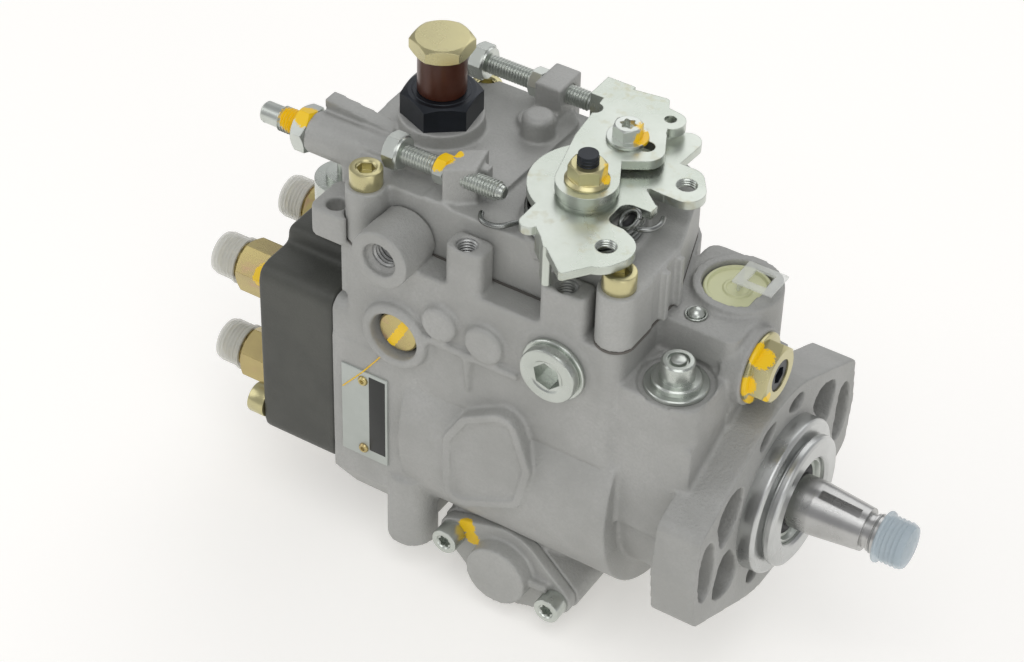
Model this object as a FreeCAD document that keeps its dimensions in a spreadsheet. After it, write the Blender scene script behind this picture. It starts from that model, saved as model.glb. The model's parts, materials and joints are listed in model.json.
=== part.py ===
import FreeCAD, Part
import math
import os
import re

# Distributor diesel injection pump.
# The origin is on the drive shaft's axis in the mounting face of the flange.
# +X runs out along the drive shaft, +Z is up and -Y is the side with the plug and the plate.

Vector = FreeCAD.Vector
Rotation = FreeCAD.Rotation

SIZES = {
    # Clearances
    "run_gap": 0.05,
    # Drive shaft
    "shaft_radius": 8.5,
    "shaft_taper_start": 13.8,
    "shaft_taper_length": 16.6,
    "shaft_taper_drop": 1.66,
    "thread_radius": 6.0,
    "thread_length": 12.0,
    "undercut_length": 2.0,
    "key_width": 3.0,
    "key_length": 13.2,
    "key_depth": 3.0,
    "key_angle": 15.0,
    "journal_radius": 10.0,
    "claw_width": 7.8,
    "claw_reach": 14.0,
    "claw_root": 7.0,
    "claw_length": 11.0,
    "cap_wall": 1.2,
    "cap_length": 11.0,
    "cap_rim": 1.6,
    # Nose of the housing
    "pilot_radius": 25.0,
    "pilot_length": 5.5,
    "nose_radius": 21.0,
    "groove_radius": 19.0,
    "groove_width": 1.2,
    "nose_end": 9.5,
    "seal_radius": 14.0,
    "seal_width": 7.0,
    "bush_radius": 13.0,
    # Flange
    "flange_depth": 14.0,
    "flange_middle": 36.0,
    "flange_tip_radius": 17.0,
    "flange_tip_centre": 41.0,
    "slot_circle": 43.5,
    "slot_half_width": 5.0,
    "slot_half_angle": 13.0,
    "window_depth": 11.0,
    # Barrel and chambers
    "barrel_neck": 36.0,
    "barrel_radius": 44.0,
    "barrel_start": -34.0,
    "barrel_end": -106.0,
    "vane_front": -37.0,
    "pump_seat": -51.05,
    "vane_length": 14.0,
    "ring_outer": 32.0,
    "ring_inner": 22.0,
    "ring_offset": 1.0,
    "rotor_radius": 20.0,
    "vane_width": 2.0,
    "vane_height": 8.0,
    "vane_stand": 0.6,
    "plate_width": 4.0,
    "gear_front": -56.5,
    "gear_back": -62.5,
    "claw_start": -64.3,
    "gear_module": 1.5,
    "drive_teeth": 42,
    "governor_teeth": 26,
    "chamber_radius": 35.0,
    # Roller ring, cam plate and plunger
    "roller_ring_front": -66.0,
    "roller_ring_width": 14.0,
    "roller_ring_radius": 29.0,
    "roller_ring_bore": 17.0,
    "roller_radius": 4.4,
    "roller_length": 8.0,
    "roller_circle": 23.0,
    "cam_front": -84.9,
    "cam_width": 7.0,
    "cam_radius": 28.0,
    "cam_lift": 2.0,
    "lobe_radius": 10.0,
    "plunger_radius": 5.5,
    "plunger_foot": 9.0,
    "plunger_reach": 50.0,
    "collar_radius": 12.0,
    "collar_width": 10.0,
    # Timing piston under the shaft
    "timing_x": -72.5,
    "timing_drop": 42.0,
    "timing_radius": 12.0,
    "timing_piston_length": 44.0,
    "timing_half_width": 32.0,
    "timing_wall": 6.0,
    "timing_pin_radius": 4.0,
    "timing_screw_span": 37.6,
    "timing_screw_slope": 14.0,
    "timing_flange_width": 4.0,
    "timing_dome_radius": 10.5,
    "timing_dome_height": 6.0,
    # Governor, on an axis parallel to the shaft
    "governor_y": -7.0,
    "governor_pin_radius": 4.0,
    "governor_thread_radius": 5.0,
    "carrier_disc_radius": 18.5,
    "carrier_disc_width": 4.0,
    "weight_pivot": 13.0,
    "weight_pivot_x": -69.5,
    "weight_toe": 7.5,
    "weight_length": 14.0,
    "weight_width": 8.0,
    "sleeve_radius": 6.0,
    "sleeve_back": -105.85,
    "sleeve_travel": 3.5,
    "lever_x": -109.5,
    "lever_width": 12.0,
    "lever_thickness": 3.0,
    "lever_pivot_z": 38.0,
    "lever_pin_radius": 2.5,
    "lever_ball_z": 9.0,
    "lever_ball_radius": 2.5,
    # Housing outside
    "side_y": 40.0,
    "far_y": 36.0,
    "cavity_near": 29.5,
    "cavity_far": 25.5,
    "deck_z": 64.0,
    "housing_rear": -133.5,
    "rear_section_length": 30.0,
    "rear_floor": 46.0,
    "upper_front": -35.0,
    "corner_radius": 5.0,
    "post_top": 78.5,
    "post_rear_x": -88.2,
    "post_front_x": -54.8,
    "post_hole": 3.2,
    "side_boss_x": -111.5,
    "side_boss_z": 69.0,
    "side_boss_radius": 9.6,
    "side_boss_face": 47.0,
    "side_boss_hole": 4.0,
    "port_x": -109.5,
    "port_z": 38.0,
    "port_radius": 11.5,
    "port_hole": 8.2,
    "plug_x": -55.0,
    "plug_z": 51.0,
    "plug_boss_radius": 12.5,
    "plug_radius": 9.2,
    "plug_head": 3.5,
    "plug_washer": 10.3,
    "washer_width": 1.5,
    "ledge_z": 43.0,
    "stub_x": -22.7,
    "stub_y": -27.0,
    "stub_radius": 5.0,
    "stub_height": 8.0,
    "ball_x": -26.3,
    "ball_y": -11.0,
    "ball_radius": 3.2,
    "inlet_x": -22.0,
    "inlet_y": 6.0,
    "inlet_radius": 13.5,
    "inlet_top": 66.0,
    "inlet_bore": 8.0,
    "foot_x": -108.0,
    "foot_y": -34.0,
    "foot_radius": 8.0,
    "foot_bottom": 47.0,
    # Distributor head
    "head_thickness": 27.5,
    "head_step": 5.0,
    "head_face_radius": 32.0,
    "head_half": 40.0,
    "head_top": 45.5,
    "head_low": 37.0,
    "rear_low": 44.0,
    "valve_square": 18.0,
    "valve_flats": 17.0,
    "valve_hex": 15.0,
    "valve_thread": 6.0,
    "valve_reach": 23.8,
    "valve_cap_radius": 7.6,
    "valve_cap_length": 9.5,
    "centre_flats": 17.0,
    "centre_hex": 6.0,
    "head_screw_circle": 40.2,
    "head_screw_angle": 26.6,
    "screw_radius": 3.0,
    "screw_head_radius": 5.0,
    "screw_head_height": 6.0,
    "socket_flats": 5.0,
    "solenoid_x": -146.5,
    "solenoid_y": -14.0,
    "solenoid_radius": 9.0,
    "solenoid_top": 69.0,
    # Governor cover
    "cover_near": 31.0,
    "cover_far": 34.0,
    "cover_front": -33.6,
    "gasket_width": 0.8,
    "cover_corner": 7.0,
    "cover_flange": 6.0,
    "cover_wall": 4.5,
    "cover_roof": 83.5,
    "cover_rear_top": 85.4,
    "cover_screw_front": -39.4,
    "cover_screw_far_front": -65.0,
    "cover_screw_rear": -124.4,
    "cover_screw_near": 34.0,
    "cover_screw_seat": 83.5,
    "union_x": -120.7,
    "union_boss_radius": 13.0,
    "union_boss_top": 90.5,
    "union_flats": 23.0,
    "union_hex": 7.5,
    "union_sleeve_radius": 7.4,
    "union_sleeve_length": 13.5,
    "union_bolt_flats": 17.0,
    "union_bolt_hex": 5.0,
    "stop_z": 91.3,
    "stop_screw_radius": 3.0,
    "stop_near_y": -24.5,
    "stop_far_y": 27.7,
    "stop_lug_width": 12.6,
    "stop_lug_length": 9.0,
    "stop_lug_top": 96.0,
    "near_lug_x": -107.0,
    "far_lug_x": -102.0,
    "stop_near_tip": -83.0,
    "stop_far_tip": -84.0,
    "stop_near_head": -118.0,
    "stop_far_head": -122.0,
    "stop_flats": 8.0,
    "full_load_y": -17.0,
    "full_load_z": 79.5,
    "full_load_boss": 6.5,
    "full_load_boss_end": -154.5,
    "full_load_flats": 13.0,
    "full_load_nut": 5.0,
    "full_load_thread": 4.0,
    "full_load_pin_length": 5.5,
    # Throttle shaft and levers
    "throttle_x": -62.5,
    "throttle_y": -14.0,
    "throttle_radius": 6.0,
    "throttle_boss": 13.5,
    "throttle_boss_top": 89.5,
    "control_lever_z": 91.0,
    "control_lever_thickness": 2.8,
    "lever_spacer": 1.7,
    "lever_eye": 3.1,
    "adjust_lever_thickness": 3.0,
    "nut_flats": 10.0,
    "nut_height": 6.5,
    "nut_flange": 6.6,
    "stud_radius": 3.0,
    "stud_reach": 2.7,
    "return_spring_radius": 16.5,
    "return_spring_wire": 1.0,
    "return_spring_pitch": 2.05,
    "return_spring_turns": 2.0,
}

doc = FreeCAD.newDocument("injection_pump")
sheet = doc.addObject("Spreadsheet::Sheet", "Sizes")
for row, (alias, value) in enumerate(SIZES.items(), start=1):
    sheet.set(f"A{row}", alias)
    sheet.set(f"B{row}", str(value))
    sheet.setAlias(f"B{row}", alias)
doc.recompute()


def size(alias):
    """Value of one size, read from the sheet."""
    return float(sheet.get(alias))


def bind(target, prop, expression):
    """Bind a property to an expression of sizes."""
    linked = re.sub(r"[a-z_]+", lambda word: f"Sizes.{word[0]}" if word[0] in SIZES else word[0], expression)
    target.setExpression(prop, linked)


# How a primitive's own Z axis, and a drawn outline, turn to lie along a row axis
TURN = {
    "X": Rotation(Vector(0, 1, 0), 90),
    "Y": Rotation(Vector(1, 0, 0), -90),
    "Z": Rotation(),
}
DRAWN = {
    "X": Rotation(Vector(1, 1, 1), 120),
    "Y": Rotation(Vector(1, 0, 0), 90),
    "Z": Rotation(),
}
DIRECTION = {"X": Vector(1, 0, 0), "Y": Vector(0, 1, 0), "Z": Vector(0, 0, 1)}
ORDER = {"X": "xyz", "Y": "yxz", "Z": "zxy"}


def new(kind, name):
    return doc.addObject(kind, name)


def place(target, axis, start, centre, rotation):
    """Put a shape's base at start along the axis, and at centre across it."""
    target.Placement = FreeCAD.Placement(Vector(), rotation)
    for letter, expression in zip(ORDER[axis], (start, centre[0], centre[1])):
        bind(target, f"Placement.Base.{letter}", expression)


def cylinder(name, radius, start, end, axis="X", centre=("0", "0")):
    shape = new("Part::Cylinder", name)
    bind(shape, "Radius", radius)
    bind(shape, "Height", f"({end}) - ({start})")
    place(shape, axis, start, centre, TURN[axis])
    return shape


def cone(name, first, second, start, end, axis="X", centre=("0", "0")):
    shape = new("Part::Cone", name)
    bind(shape, "Radius1", first)
    bind(shape, "Radius2", second)
    bind(shape, "Height", f"({end}) - ({start})")
    place(shape, axis, start, centre, TURN[axis])
    return shape


def hexagon(name, flats, start, end, axis="X", centre=("0", "0")):
    shape = new("Part::Prism", name)
    shape.Polygon = 6
    bind(shape, "Circumradius", f"({flats}) / sqrt(3)")
    bind(shape, "Height", f"({end}) - ({start})")
    place(shape, axis, start, centre, TURN[axis])
    return shape


def box(name, x_span, y_span, z_span):
    shape = new("Part::Box", name)
    for letter, prop, span in zip("xyz", ("Length", "Width", "Height"), (x_span, y_span, z_span)):
        bind(shape, prop, f"({span[1]}) - ({span[0]})")
        bind(shape, f"Placement.Base.{letter}", span[0])
    return shape


def extruded(name, axis, start, end, wire):
    """Solid drawn as a wire across the axis and pushed from start to end."""
    outline = new("Part::Feature", f"{name}_outline")
    outline.Shape = wire
    place(outline, axis, start, ("0", "0"), DRAWN[axis])
    solid = new("Part::Extrusion", name)
    solid.Base = outline
    solid.DirMode = "Custom"
    solid.Dir = DIRECTION[axis]
    solid.Solid = True
    bind(solid, "LengthFwd", f"({end}) - ({start})")
    return solid


def polygon_wire(points):
    corners = [Vector(u, v, 0) for u, v in points]
    return Part.makePolygon(corners + corners[:1])


def wrapped_wire(circles):
    """Outline stretched round circles (u, v, radius), which are listed anticlockwise."""
    normals = []
    for (u, v, radius), (next_u, next_v, next_radius) in zip(circles, circles[1:] + circles[:1]):
        run = math.hypot(next_u - u, next_v - v)
        heading = math.atan2(next_v - v, next_u - u)
        normals.append(heading - math.acos((radius - next_radius) / run))
    edges = []
    for index, (u, v, radius) in enumerate(circles):
        arrive, leave = normals[index - 1], normals[index]
        while leave < arrive:
            leave += 2 * math.pi
        points = [Vector(u + radius * math.cos(angle), v + radius * math.sin(angle), 0)
                  for angle in (arrive, (arrive + leave) / 2, leave)]
        if leave - arrive > 1e-4:
            edges.append(Part.Arc(*points).toShape())
        next_u, next_v, next_radius = circles[(index + 1) % len(circles)]
        target = Vector(next_u + next_radius * math.cos(leave), next_v + next_radius * math.sin(leave), 0)
        edges.append(Part.makeLine(points[2], target))
    return Part.Wire(edges)


def wrapped(name, axis, start, end, circles):
    return extruded(name, axis, start, end, wrapped_wire(circles))


def rounded_rectangle(low_u, high_u, low_v, high_v, radius):
    """Four corner circles of a rectangle, anticlockwise."""
    return [(low_u + radius, low_v + radius, radius), (high_u - radius, low_v + radius, radius),
            (high_u - radius, high_v - radius, radius), (low_u + radius, high_v - radius, radius)]


def fuse(name, *shapes):
    joined = new("Part::MultiFuse", name)
    joined.Shapes = list(shapes)
    joined.Refine = True
    return joined


def cut(name, base, *tools):
    result = new("Part::Cut", name)
    result.Base = base
    result.Tool = tools[0] if len(tools) == 1 else fuse(f"{name}_tools", *tools)
    result.Refine = True
    return result


def common(name, *shapes):
    result = new("Part::MultiCommon", name)
    result.Shapes = list(shapes)
    return result


def group(name, *solids):
    """Several solids that share one node."""
    joined = new("Part::Compound", name)
    joined.Links = list(solids)
    return joined


def turned(name, shape, axis, angle, centre=Vector()):
    """A copy of a shape turned about a row axis through a point."""
    copy = new("Part::Feature", name)
    doc.recompute()
    moved = shape.Shape.copy()
    moved.rotate(centre, DIRECTION[axis], angle)
    copy.Shape = Part.Compound([moved])
    return copy


def round_copies(name, shape, axis, count, centre=Vector(), first=0.0):
    """Copies of a shape spaced evenly round an axis."""
    return [turned(f"{name}_{index}", shape, axis, first + 360.0 * index / count, centre)
            for index in range(count)]


NODES = {}


def node(name, shape):
    """Name the finished sub-part, which also names its file."""
    shape.Label = name
    NODES[name] = shape
    return shape


def drive_shaft():
    """Journal, key-slotted taper, thread and the two claws that drive the cross disc."""
    taper_end = "shaft_taper_start + shaft_taper_length"
    journal = cylinder("shaft_journal", "journal_radius", "gear_back - 0.3", "pilot_length")
    land = cylinder("shaft_land", "shaft_radius", "pilot_length", "shaft_taper_start")
    taper = cone("shaft_taper", "shaft_radius", "shaft_radius - shaft_taper_drop", "shaft_taper_start", taper_end)
    undercut = cylinder("shaft_undercut", "thread_radius - 0.6", taper_end, f"{taper_end} + undercut_length")
    thread = cylinder("shaft_thread", "thread_radius", f"{taper_end} + undercut_length",
                      f"{taper_end} + thread_length")
    disc = cylinder("shaft_claw_disc", "claw_reach", "claw_start", "gear_back - 0.3")
    claws = [box(f"shaft_claw_{side}", ("claw_start - claw_length", "claw_start"),
                 ("-claw_width / 2", "claw_width / 2"), span)
             for side, span in (("top", ("claw_root", "claw_reach - 1")), ("low", ("1 - claw_reach", "-claw_root")))]
    slot = box("key_slot", ("shaft_taper_start + 1.2", "shaft_taper_start + 1.2 + key_length"),
               ("-key_width / 2", "key_width / 2"), ("shaft_radius - key_depth", "shaft_radius + 2"))
    slot = turned("key_slot_turned", slot, "X", size("key_angle"))
    whole = fuse("shaft_whole", journal, land, taper, undercut, thread, disc, *claws)
    return node("drive_shaft", cut("shaft_slotted", whole, slot))


def shaft_cap():
    """Clear cup pushed over the thread for transport."""
    start = "shaft_taper_start + shaft_taper_length + undercut_length"
    end = f"{start} + cap_length"
    outer = cylinder("shaft_cap_outer", "thread_radius + cap_wall", start, f"{end} + cap_wall")
    rim = cylinder("shaft_cap_rim", "thread_radius + cap_wall + 0.8", start, f"{start} + cap_rim")
    inner = cylinder("shaft_cap_inner", "thread_radius + 0.02", f"{start} - 1", end)
    return node("shaft_cap", cut("shaft_cap_cup", fuse("shaft_cap_whole", outer, rim), inner))


def gear_wire(teeth, module):
    """Outline of a spur gear with straight-sided teeth."""
    points = []
    pitch = module * teeth / 2
    tooth = math.pi / teeth
    for index in range(teeth):
        middle = 2 * math.pi * index / teeth
        for radius, half in ((pitch - 1.3 * module, 0.68), (pitch + 0.9 * module, 0.22)):
            points.append((radius, middle - half * tooth, half))
        for radius, half in ((pitch + 0.9 * module, 0.22), (pitch - 1.3 * module, 0.68)):
            points.append((radius, middle + half * tooth, half))
    return polygon_wire([(radius * math.cos(angle), radius * math.sin(angle)) for radius, angle, _ in points])


def drive_gear():
    """Gear on the shaft that turns the governor."""
    teeth = int(size("drive_teeth"))
    blank = extruded("drive_gear_blank", "X", "gear_back", "gear_front", gear_wire(teeth, size("gear_module")))
    bore = cylinder("drive_gear_bore", "journal_radius + 0.02", "gear_back - 1", "gear_front + 1")
    return node("drive_gear", cut("drive_gear_bored", blank, bore))


def cross_disc():
    """Coupling disc, slotted for two claws of the shaft and two of the cam plate."""
    front = "claw_start - 3"
    disc = cylinder("cross_disc_blank", "roller_ring_bore - 1", f"{front} - 8", front)
    slots = []
    for name, y_span, z_span in (
        ("upright", ("-claw_width / 2 - 0.1", "claw_width / 2 + 0.1"), ("claw_root - 0.3", "claw_reach + 9")),
        ("level", ("claw_root - 0.3", "claw_reach + 9"), ("-claw_width / 2 - 0.1", "claw_width / 2 + 0.1")),
    ):
        slot = box(f"cross_slot_{name}", (f"{front} - 9", f"{front} + 1"), y_span, z_span)
        slots += [slot, turned(f"cross_slot_{name}_back", slot, "X", 180)]
    return node("cross_disc", cut("cross_disc_slotted", disc, *slots))


def cam_plate():
    """Face cam with four lobes, its claws and the seat of the plunger."""
    rim = cylinder("cam_rim", "cam_radius", "cam_front - cam_lift - cam_width", "cam_front - cam_lift")
    lobes = box("cam_lobe", ("cam_front - cam_lift - 1", "cam_front"), ("-lobe_radius / 2", "lobe_radius / 2"),
                ("roller_circle - 5.5", "roller_circle + 4"))
    lobes = round_copies("cam_lobe_turned", lobes, "X", 4)
    claw = box("cam_claw", ("cam_front - cam_lift - 1", "claw_start - 3"), ("claw_root", "claw_reach - 1"),
               ("-claw_width / 2", "claw_width / 2"))
    other = turned("cam_claw_back", claw, "X", 180)
    hub = cylinder("cam_hub", "claw_reach - 1", "cam_front - cam_lift - cam_width", "cam_front")
    seat = cylinder("cam_seat", "plunger_foot + 0.02", "cam_front - cam_lift - cam_width - 1",
                    "cam_front - cam_lift - cam_width + 3")
    return node("cam_plate", cut("cam_seated", fuse("cam_whole", rim, hub, claw, other, *lobes), seat))


def distributor_plunger():
    """Plunger with its foot in the cam plate, centre bore and one outlet hole."""
    back = "cam_front - cam_lift - cam_width"
    foot = cylinder("plunger_foot_disc", "plunger_foot", f"{back} - 2", f"{back} + 3 - run_gap")
    rod = cylinder("plunger_rod", "plunger_radius", f"{back} - plunger_reach", f"{back} - 2")
    bore = cylinder("plunger_bore", "1.2", f"{back} - plunger_reach - 1", "lever_x - 6")
    spill = cylinder("plunger_spill", "0.8", "-plunger_radius - 1", "plunger_radius + 1", "Y", ("lever_x - 4", "0"))
    return node("distributor_plunger", cut("plunger_bored", fuse("plunger_whole", foot, rod), bore, spill))


def pump_rotor():
    """Rotor of the vane pump with four slots."""
    blank = cylinder("rotor_blank", "rotor_radius", "vane_front - vane_length", "vane_front - run_gap")
    bore = cylinder("rotor_bore", "journal_radius + 0.02", "vane_front - vane_length - 1", "vane_front + 1")
    slot = box("rotor_slot", ("vane_front - vane_length - 1", "vane_front + 1"),
               ("-vane_width / 2", "vane_width / 2"), ("rotor_radius + vane_stand - vane_height - 0.5", "rotor_radius + 2"))
    return node("pump_rotor", cut("rotor_slotted", blank, bore, *round_copies("rotor_slot_turned", slot, "X", 4)))


def pump_vanes():
    """Four sliding vanes, in the middle of their stroke."""
    vane = box("vane", ("vane_front - vane_length + run_gap", "vane_front - 2 * run_gap"),
               ("0.02 - vane_width / 2", "vane_width / 2 - 0.02"),
               ("rotor_radius + vane_stand - vane_height", "rotor_radius + vane_stand"))
    return node("pump_vanes", group("vane_set", *round_copies("vane_turned", vane, "X", 4)))


def cam_ring():
    """Eccentric ring that the vanes sweep."""
    outer = cylinder("ring_outer_disc", "ring_outer", "vane_front - vane_length", "vane_front - 0.02")
    inner = cylinder("ring_inner_disc", "ring_inner", "vane_front - vane_length - 1", "vane_front + 1", "X",
                     ("ring_offset", "0"))
    return node("cam_ring", cut("ring_bored", outer, inner))


def pump_plate():
    """Plate that closes the vane pump."""
    front = "vane_front - vane_length - run_gap"
    disc = cylinder("pump_plate_disc", "chamber_radius - 0.02", f"{front} - plate_width", front)
    bore = cylinder("pump_plate_bore", "journal_radius + run_gap", f"{front} - plate_width - 1", f"{front} + 1")
    port = cylinder("pump_plate_port", "2.5", f"{front} - plate_width - 1", f"{front} + 1", "X", ("0", "-21"))
    return node("pump_plate", cut("pump_plate_bored", disc, bore, port))


def roller_ring():
    """Ring that carries the rollers, with the pin that the timing piston swings."""
    back = "roller_ring_front - roller_ring_width"
    ring = cylinder("roller_ring_blank", "roller_ring_radius", back, "roller_ring_front")
    pin = cylinder("roller_ring_pin", "timing_pin_radius", "-timing_drop - 1", "2 - roller_ring_radius", "Z",
                   ("timing_x", "0"))
    bore = cylinder("roller_ring_bored", "roller_ring_bore", f"{back} - 1", "roller_ring_front + 1")
    pocket = cylinder("roller_pocket", "roller_radius + run_gap", "roller_circle - roller_length / 2 - 0.1",
                      "roller_circle + roller_length / 2 + 0.1", "Z", (f"{back} - 0.4", "0"))
    pockets = round_copies("roller_pocket_turned", pocket, "X", 4, Vector(), 0)
    return node("roller_ring", cut("roller_ring_cut", fuse("roller_ring_whole", ring, pin), bore, *pockets))


def rollers():
    """Four rollers, each in a pocket of the ring."""
    roller = cylinder("roller", "roller_radius", "roller_circle - roller_length / 2",
                      "roller_circle + roller_length / 2", "Z",
                      ("roller_ring_front - roller_ring_width - 0.4", "0"))
    return node("rollers", group("roller_set", *round_copies("roller_turned", roller, "X", 4)))


def timing_piston():
    """Piston under the shaft with a pocket for the ring's pin."""
    centre = ("timing_x", "-timing_drop")
    blank = cylinder("piston_blank", "timing_radius", "-timing_piston_length / 2", "timing_piston_length / 2",
                     "Y", centre)
    pocket = wrapped("piston_pocket", "Z", "-timing_drop - 3", "timing_radius - timing_drop + 1",
                     [(size("timing_x"), -1.6, size("timing_pin_radius") + 0.15),
                      (size("timing_x"), 1.6, size("timing_pin_radius") + 0.15)])
    hollow = cylinder("piston_hollow", "timing_radius - 3.5", "timing_piston_length / 2 - 12",
                      "timing_piston_length / 2 + 1", "Y", centre)
    return node("timing_piston", cut("piston_cut", blank, pocket, hollow))


def timing_cover(side, name):
    """Lozenge cover with its domed middle."""
    face = "timing_half_width"
    spans = {1: (face, f"{face} + timing_flange_width", f"{face} + timing_flange_width + timing_dome_height"),
             -1: (f"-{face} - timing_flange_width", f"-{face}",
                  f"-{face} - timing_flange_width - timing_dome_height")}
    low, high = spans[side][:2]
    plate = wrapped(f"{name}_plate", "Y", low, high, timing_outline(0.0))
    dome_span = (high, spans[1][2]) if side > 0 else (spans[-1][2], low)
    dome = cylinder(f"{name}_dome", "timing_dome_radius", *dome_span, "Y", ("timing_x", "-timing_drop"))
    holes = [cylinder(f"{name}_hole_{index}", "screw_radius - 0.3", f"({low}) - 1", f"({high}) + 1", "Y", place_now)
             for index, place_now in enumerate(timing_screw_places())]
    return cut(name, fuse(f"{name}_whole", plate, dome), *holes)


def timing_screw_places():
    half = size("timing_screw_span") / 2
    rise = half * math.tan(math.radians(size("timing_screw_slope")))
    x, z = size("timing_x"), -size("timing_drop")
    return [(str(x - half), str(z + rise)), (str(x + half), str(z - rise))]


def timing_outline(extra):
    circles = [(float(x), float(z), 5.2 + extra) for x, z in timing_screw_places()]
    middle = (size("timing_x"), -size("timing_drop"), size("timing_radius") + 3.0 + extra)
    rear, front = circles
    return [rear, middle, front, middle]


def timing_covers():
    return node("timing_covers", group("timing_cover_pair", timing_cover(-1, "near_cover"),
                                       timing_cover(1, "far_cover")))


def cap_screw(name, axis, seat, out, centre, reach, radius="screw_radius", head="screw_head_radius"):
    """Socket screw whose head stands on seat, towards +axis or -axis."""
    tall = "screw_head_height"
    if out > 0:
        head_span, shank_span, socket_span = ((seat, f"{seat} + {tall}"), (f"{seat} - {reach}", seat),
                                              (f"{seat} + {tall} - 3", f"{seat} + {tall} + 1"))
    else:
        head_span, shank_span, socket_span = ((f"{seat} - {tall}", seat), (seat, f"{seat} + {reach}"),
                                              (f"{seat} - {tall} - 1", f"{seat} - {tall} + 3"))
    disc = cylinder(f"{name}_head", head, *head_span, axis, centre)
    shank = cylinder(f"{name}_shank", radius, *shank_span, axis, centre)
    socket = hexagon(f"{name}_socket", "socket_flats", *socket_span, axis, centre)
    return cut(name, fuse(f"{name}_whole", disc, shank), socket)


def timing_screws():
    screws = []
    face = "timing_half_width + timing_flange_width"
    for index, centre in enumerate(timing_screw_places()):
        for side in (-1, 1):
            seat = f"-({face})" if side < 0 else f"({face})"
            screws.append(cap_screw(f"timing_screw_{index}_{'near' if side < 0 else 'far'}", "Y", seat, side,
                                    centre, 12, "screw_radius - 0.5", "screw_head_radius - 0.6"))
    return node("timing_screws", group("timing_screw_set", *screws))


def governor_height():
    """Height at which the two gears mesh."""
    pitch_sum = size("gear_module") * (size("drive_teeth") + size("governor_teeth")) / 2
    return math.sqrt(pitch_sum ** 2 - size("governor_y") ** 2)


GOVERNOR_Z = governor_height()
GOVERNOR = ("governor_y", str(GOVERNOR_Z))


def around_governor(shape_list):
    """Bind shapes drawn about the X axis to the governor's axis."""
    for shape in shape_list:
        for letter, value in zip("yz", GOVERNOR):
            bind(shape, f"Placement.Base.{letter}", value)
    return shape_list


def governor_shaft():
    """Pin that the governor turns on, threaded into the housing's front wall."""
    pin = cylinder("governor_pin", "governor_pin_radius", "sleeve_back + 8", "-36", "X", GOVERNOR)
    thread = cylinder("governor_thread", "governor_thread_radius", "-36", "-0.4", "X", GOVERNOR)
    socket = hexagon("governor_socket", "socket_flats", "-4", "1", "X", GOVERNOR)
    return node("governor_shaft", cut("governor_shaft_cut", fuse("governor_shaft_whole", pin, thread), socket))


def governor_locknut():
    """Flanged locknut on the end of the governor's pin."""
    flange = cylinder("locknut_flange", "11", "-7", "-5.4", "X", GOVERNOR)
    nut = hexagon("locknut_hex", "valve_flats", "-5.4", "0", "X", GOVERNOR)
    hole = cylinder("locknut_hole", "governor_thread_radius + 0.02", "-8", "1", "X", GOVERNOR)
    return node("governor_locknut", cut("locknut_cut", fuse("locknut_whole", flange, nut), hole))


def flyweight_carrier():
    """Driven gear with the cage that carries the four weights."""
    teeth = int(size("governor_teeth"))
    gear = extruded("governor_gear", "X", "gear_back", "gear_front", gear_wire(teeth, size("gear_module")))
    gear = turned("governor_gear_meshed", gear, "X", mesh_angle(teeth))
    disc = cylinder("carrier_disc", "carrier_disc_radius", "gear_back - carrier_disc_width", "gear_back")
    ears = []
    for side, span in (("left", ("weight_width / 2 + 0.2", "weight_width / 2 + 2")),
                       ("right", ("-weight_width / 2 - 2", "-weight_width / 2 - 0.2"))):
        ears.append(box(f"weight_ear_{side}", ("weight_pivot_x - 2", "gear_back - carrier_disc_width + 0.5"), span,
                        ("weight_pivot - 3.5", "weight_pivot + 2.5")))
    pin = cylinder("weight_pin", "1.2", "-weight_width / 2 - 2", "weight_width / 2 + 2", "Y",
                   ("weight_pivot_x", "weight_pivot"))
    cage = round_copies("weight_bearing", fuse("weight_bearing_one", *ears, pin), "X", 4)
    bore = cylinder("carrier_bore", "governor_pin_radius + run_gap", "gear_back - carrier_disc_width - 1",
                    "gear_front + 1")
    doc.recompute()
    carrier = cut("carrier_bored", fuse("carrier_whole", gear, disc, *cage), bore)
    doc.recompute()
    placed = new("Part::Feature", "carrier_placed")
    placed.Shape = carrier.Shape
    place(placed, "X", "0", GOVERNOR, Rotation())
    return node("flyweight_carrier", placed)


def mesh_angle(teeth):
    """Turn of the governor's gear that puts a gap opposite a tooth of the drive gear."""
    drive = int(size("drive_teeth"))
    line = math.atan2(GOVERNOR_Z, size("governor_y"))
    nearest = round(line / (2 * math.pi / drive)) * 2 * math.pi / drive
    lead = (line - nearest) * drive / teeth
    return math.degrees(line + math.pi + lead) + 180.0 / teeth


def flyweights():
    """Four weights, whose toes push the sleeve when they swing out."""
    block = box("weight_block", ("weight_pivot_x - weight_length", "weight_pivot_x + 2"),
                ("-weight_width / 2", "weight_width / 2"), ("weight_pivot - 4", "weight_pivot + 2"))
    toe = box("weight_toe", ("weight_pivot_x - 1", "weight_pivot_x + 1"), ("-weight_width / 2", "weight_width / 2"),
              ("weight_pivot - weight_toe", "weight_pivot - 3.9"))
    tip = cylinder("weight_tip", "1", "-weight_width / 2", "weight_width / 2", "Y",
                   ("weight_pivot_x", "weight_pivot - weight_toe"))
    hole = cylinder("weight_hole", "1.2 + run_gap", "-weight_width", "weight_width", "Y",
                    ("weight_pivot_x", "weight_pivot"))
    weight = cut("weight_bored", fuse("weight_whole", block, toe, tip), hole)
    for index, shape in enumerate(round_copies("weight_turned", weight, "X", 4), start=1):
        place(shape, "X", "0", GOVERNOR, Rotation())
        node(f"flyweight_{index}", shape)


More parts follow.
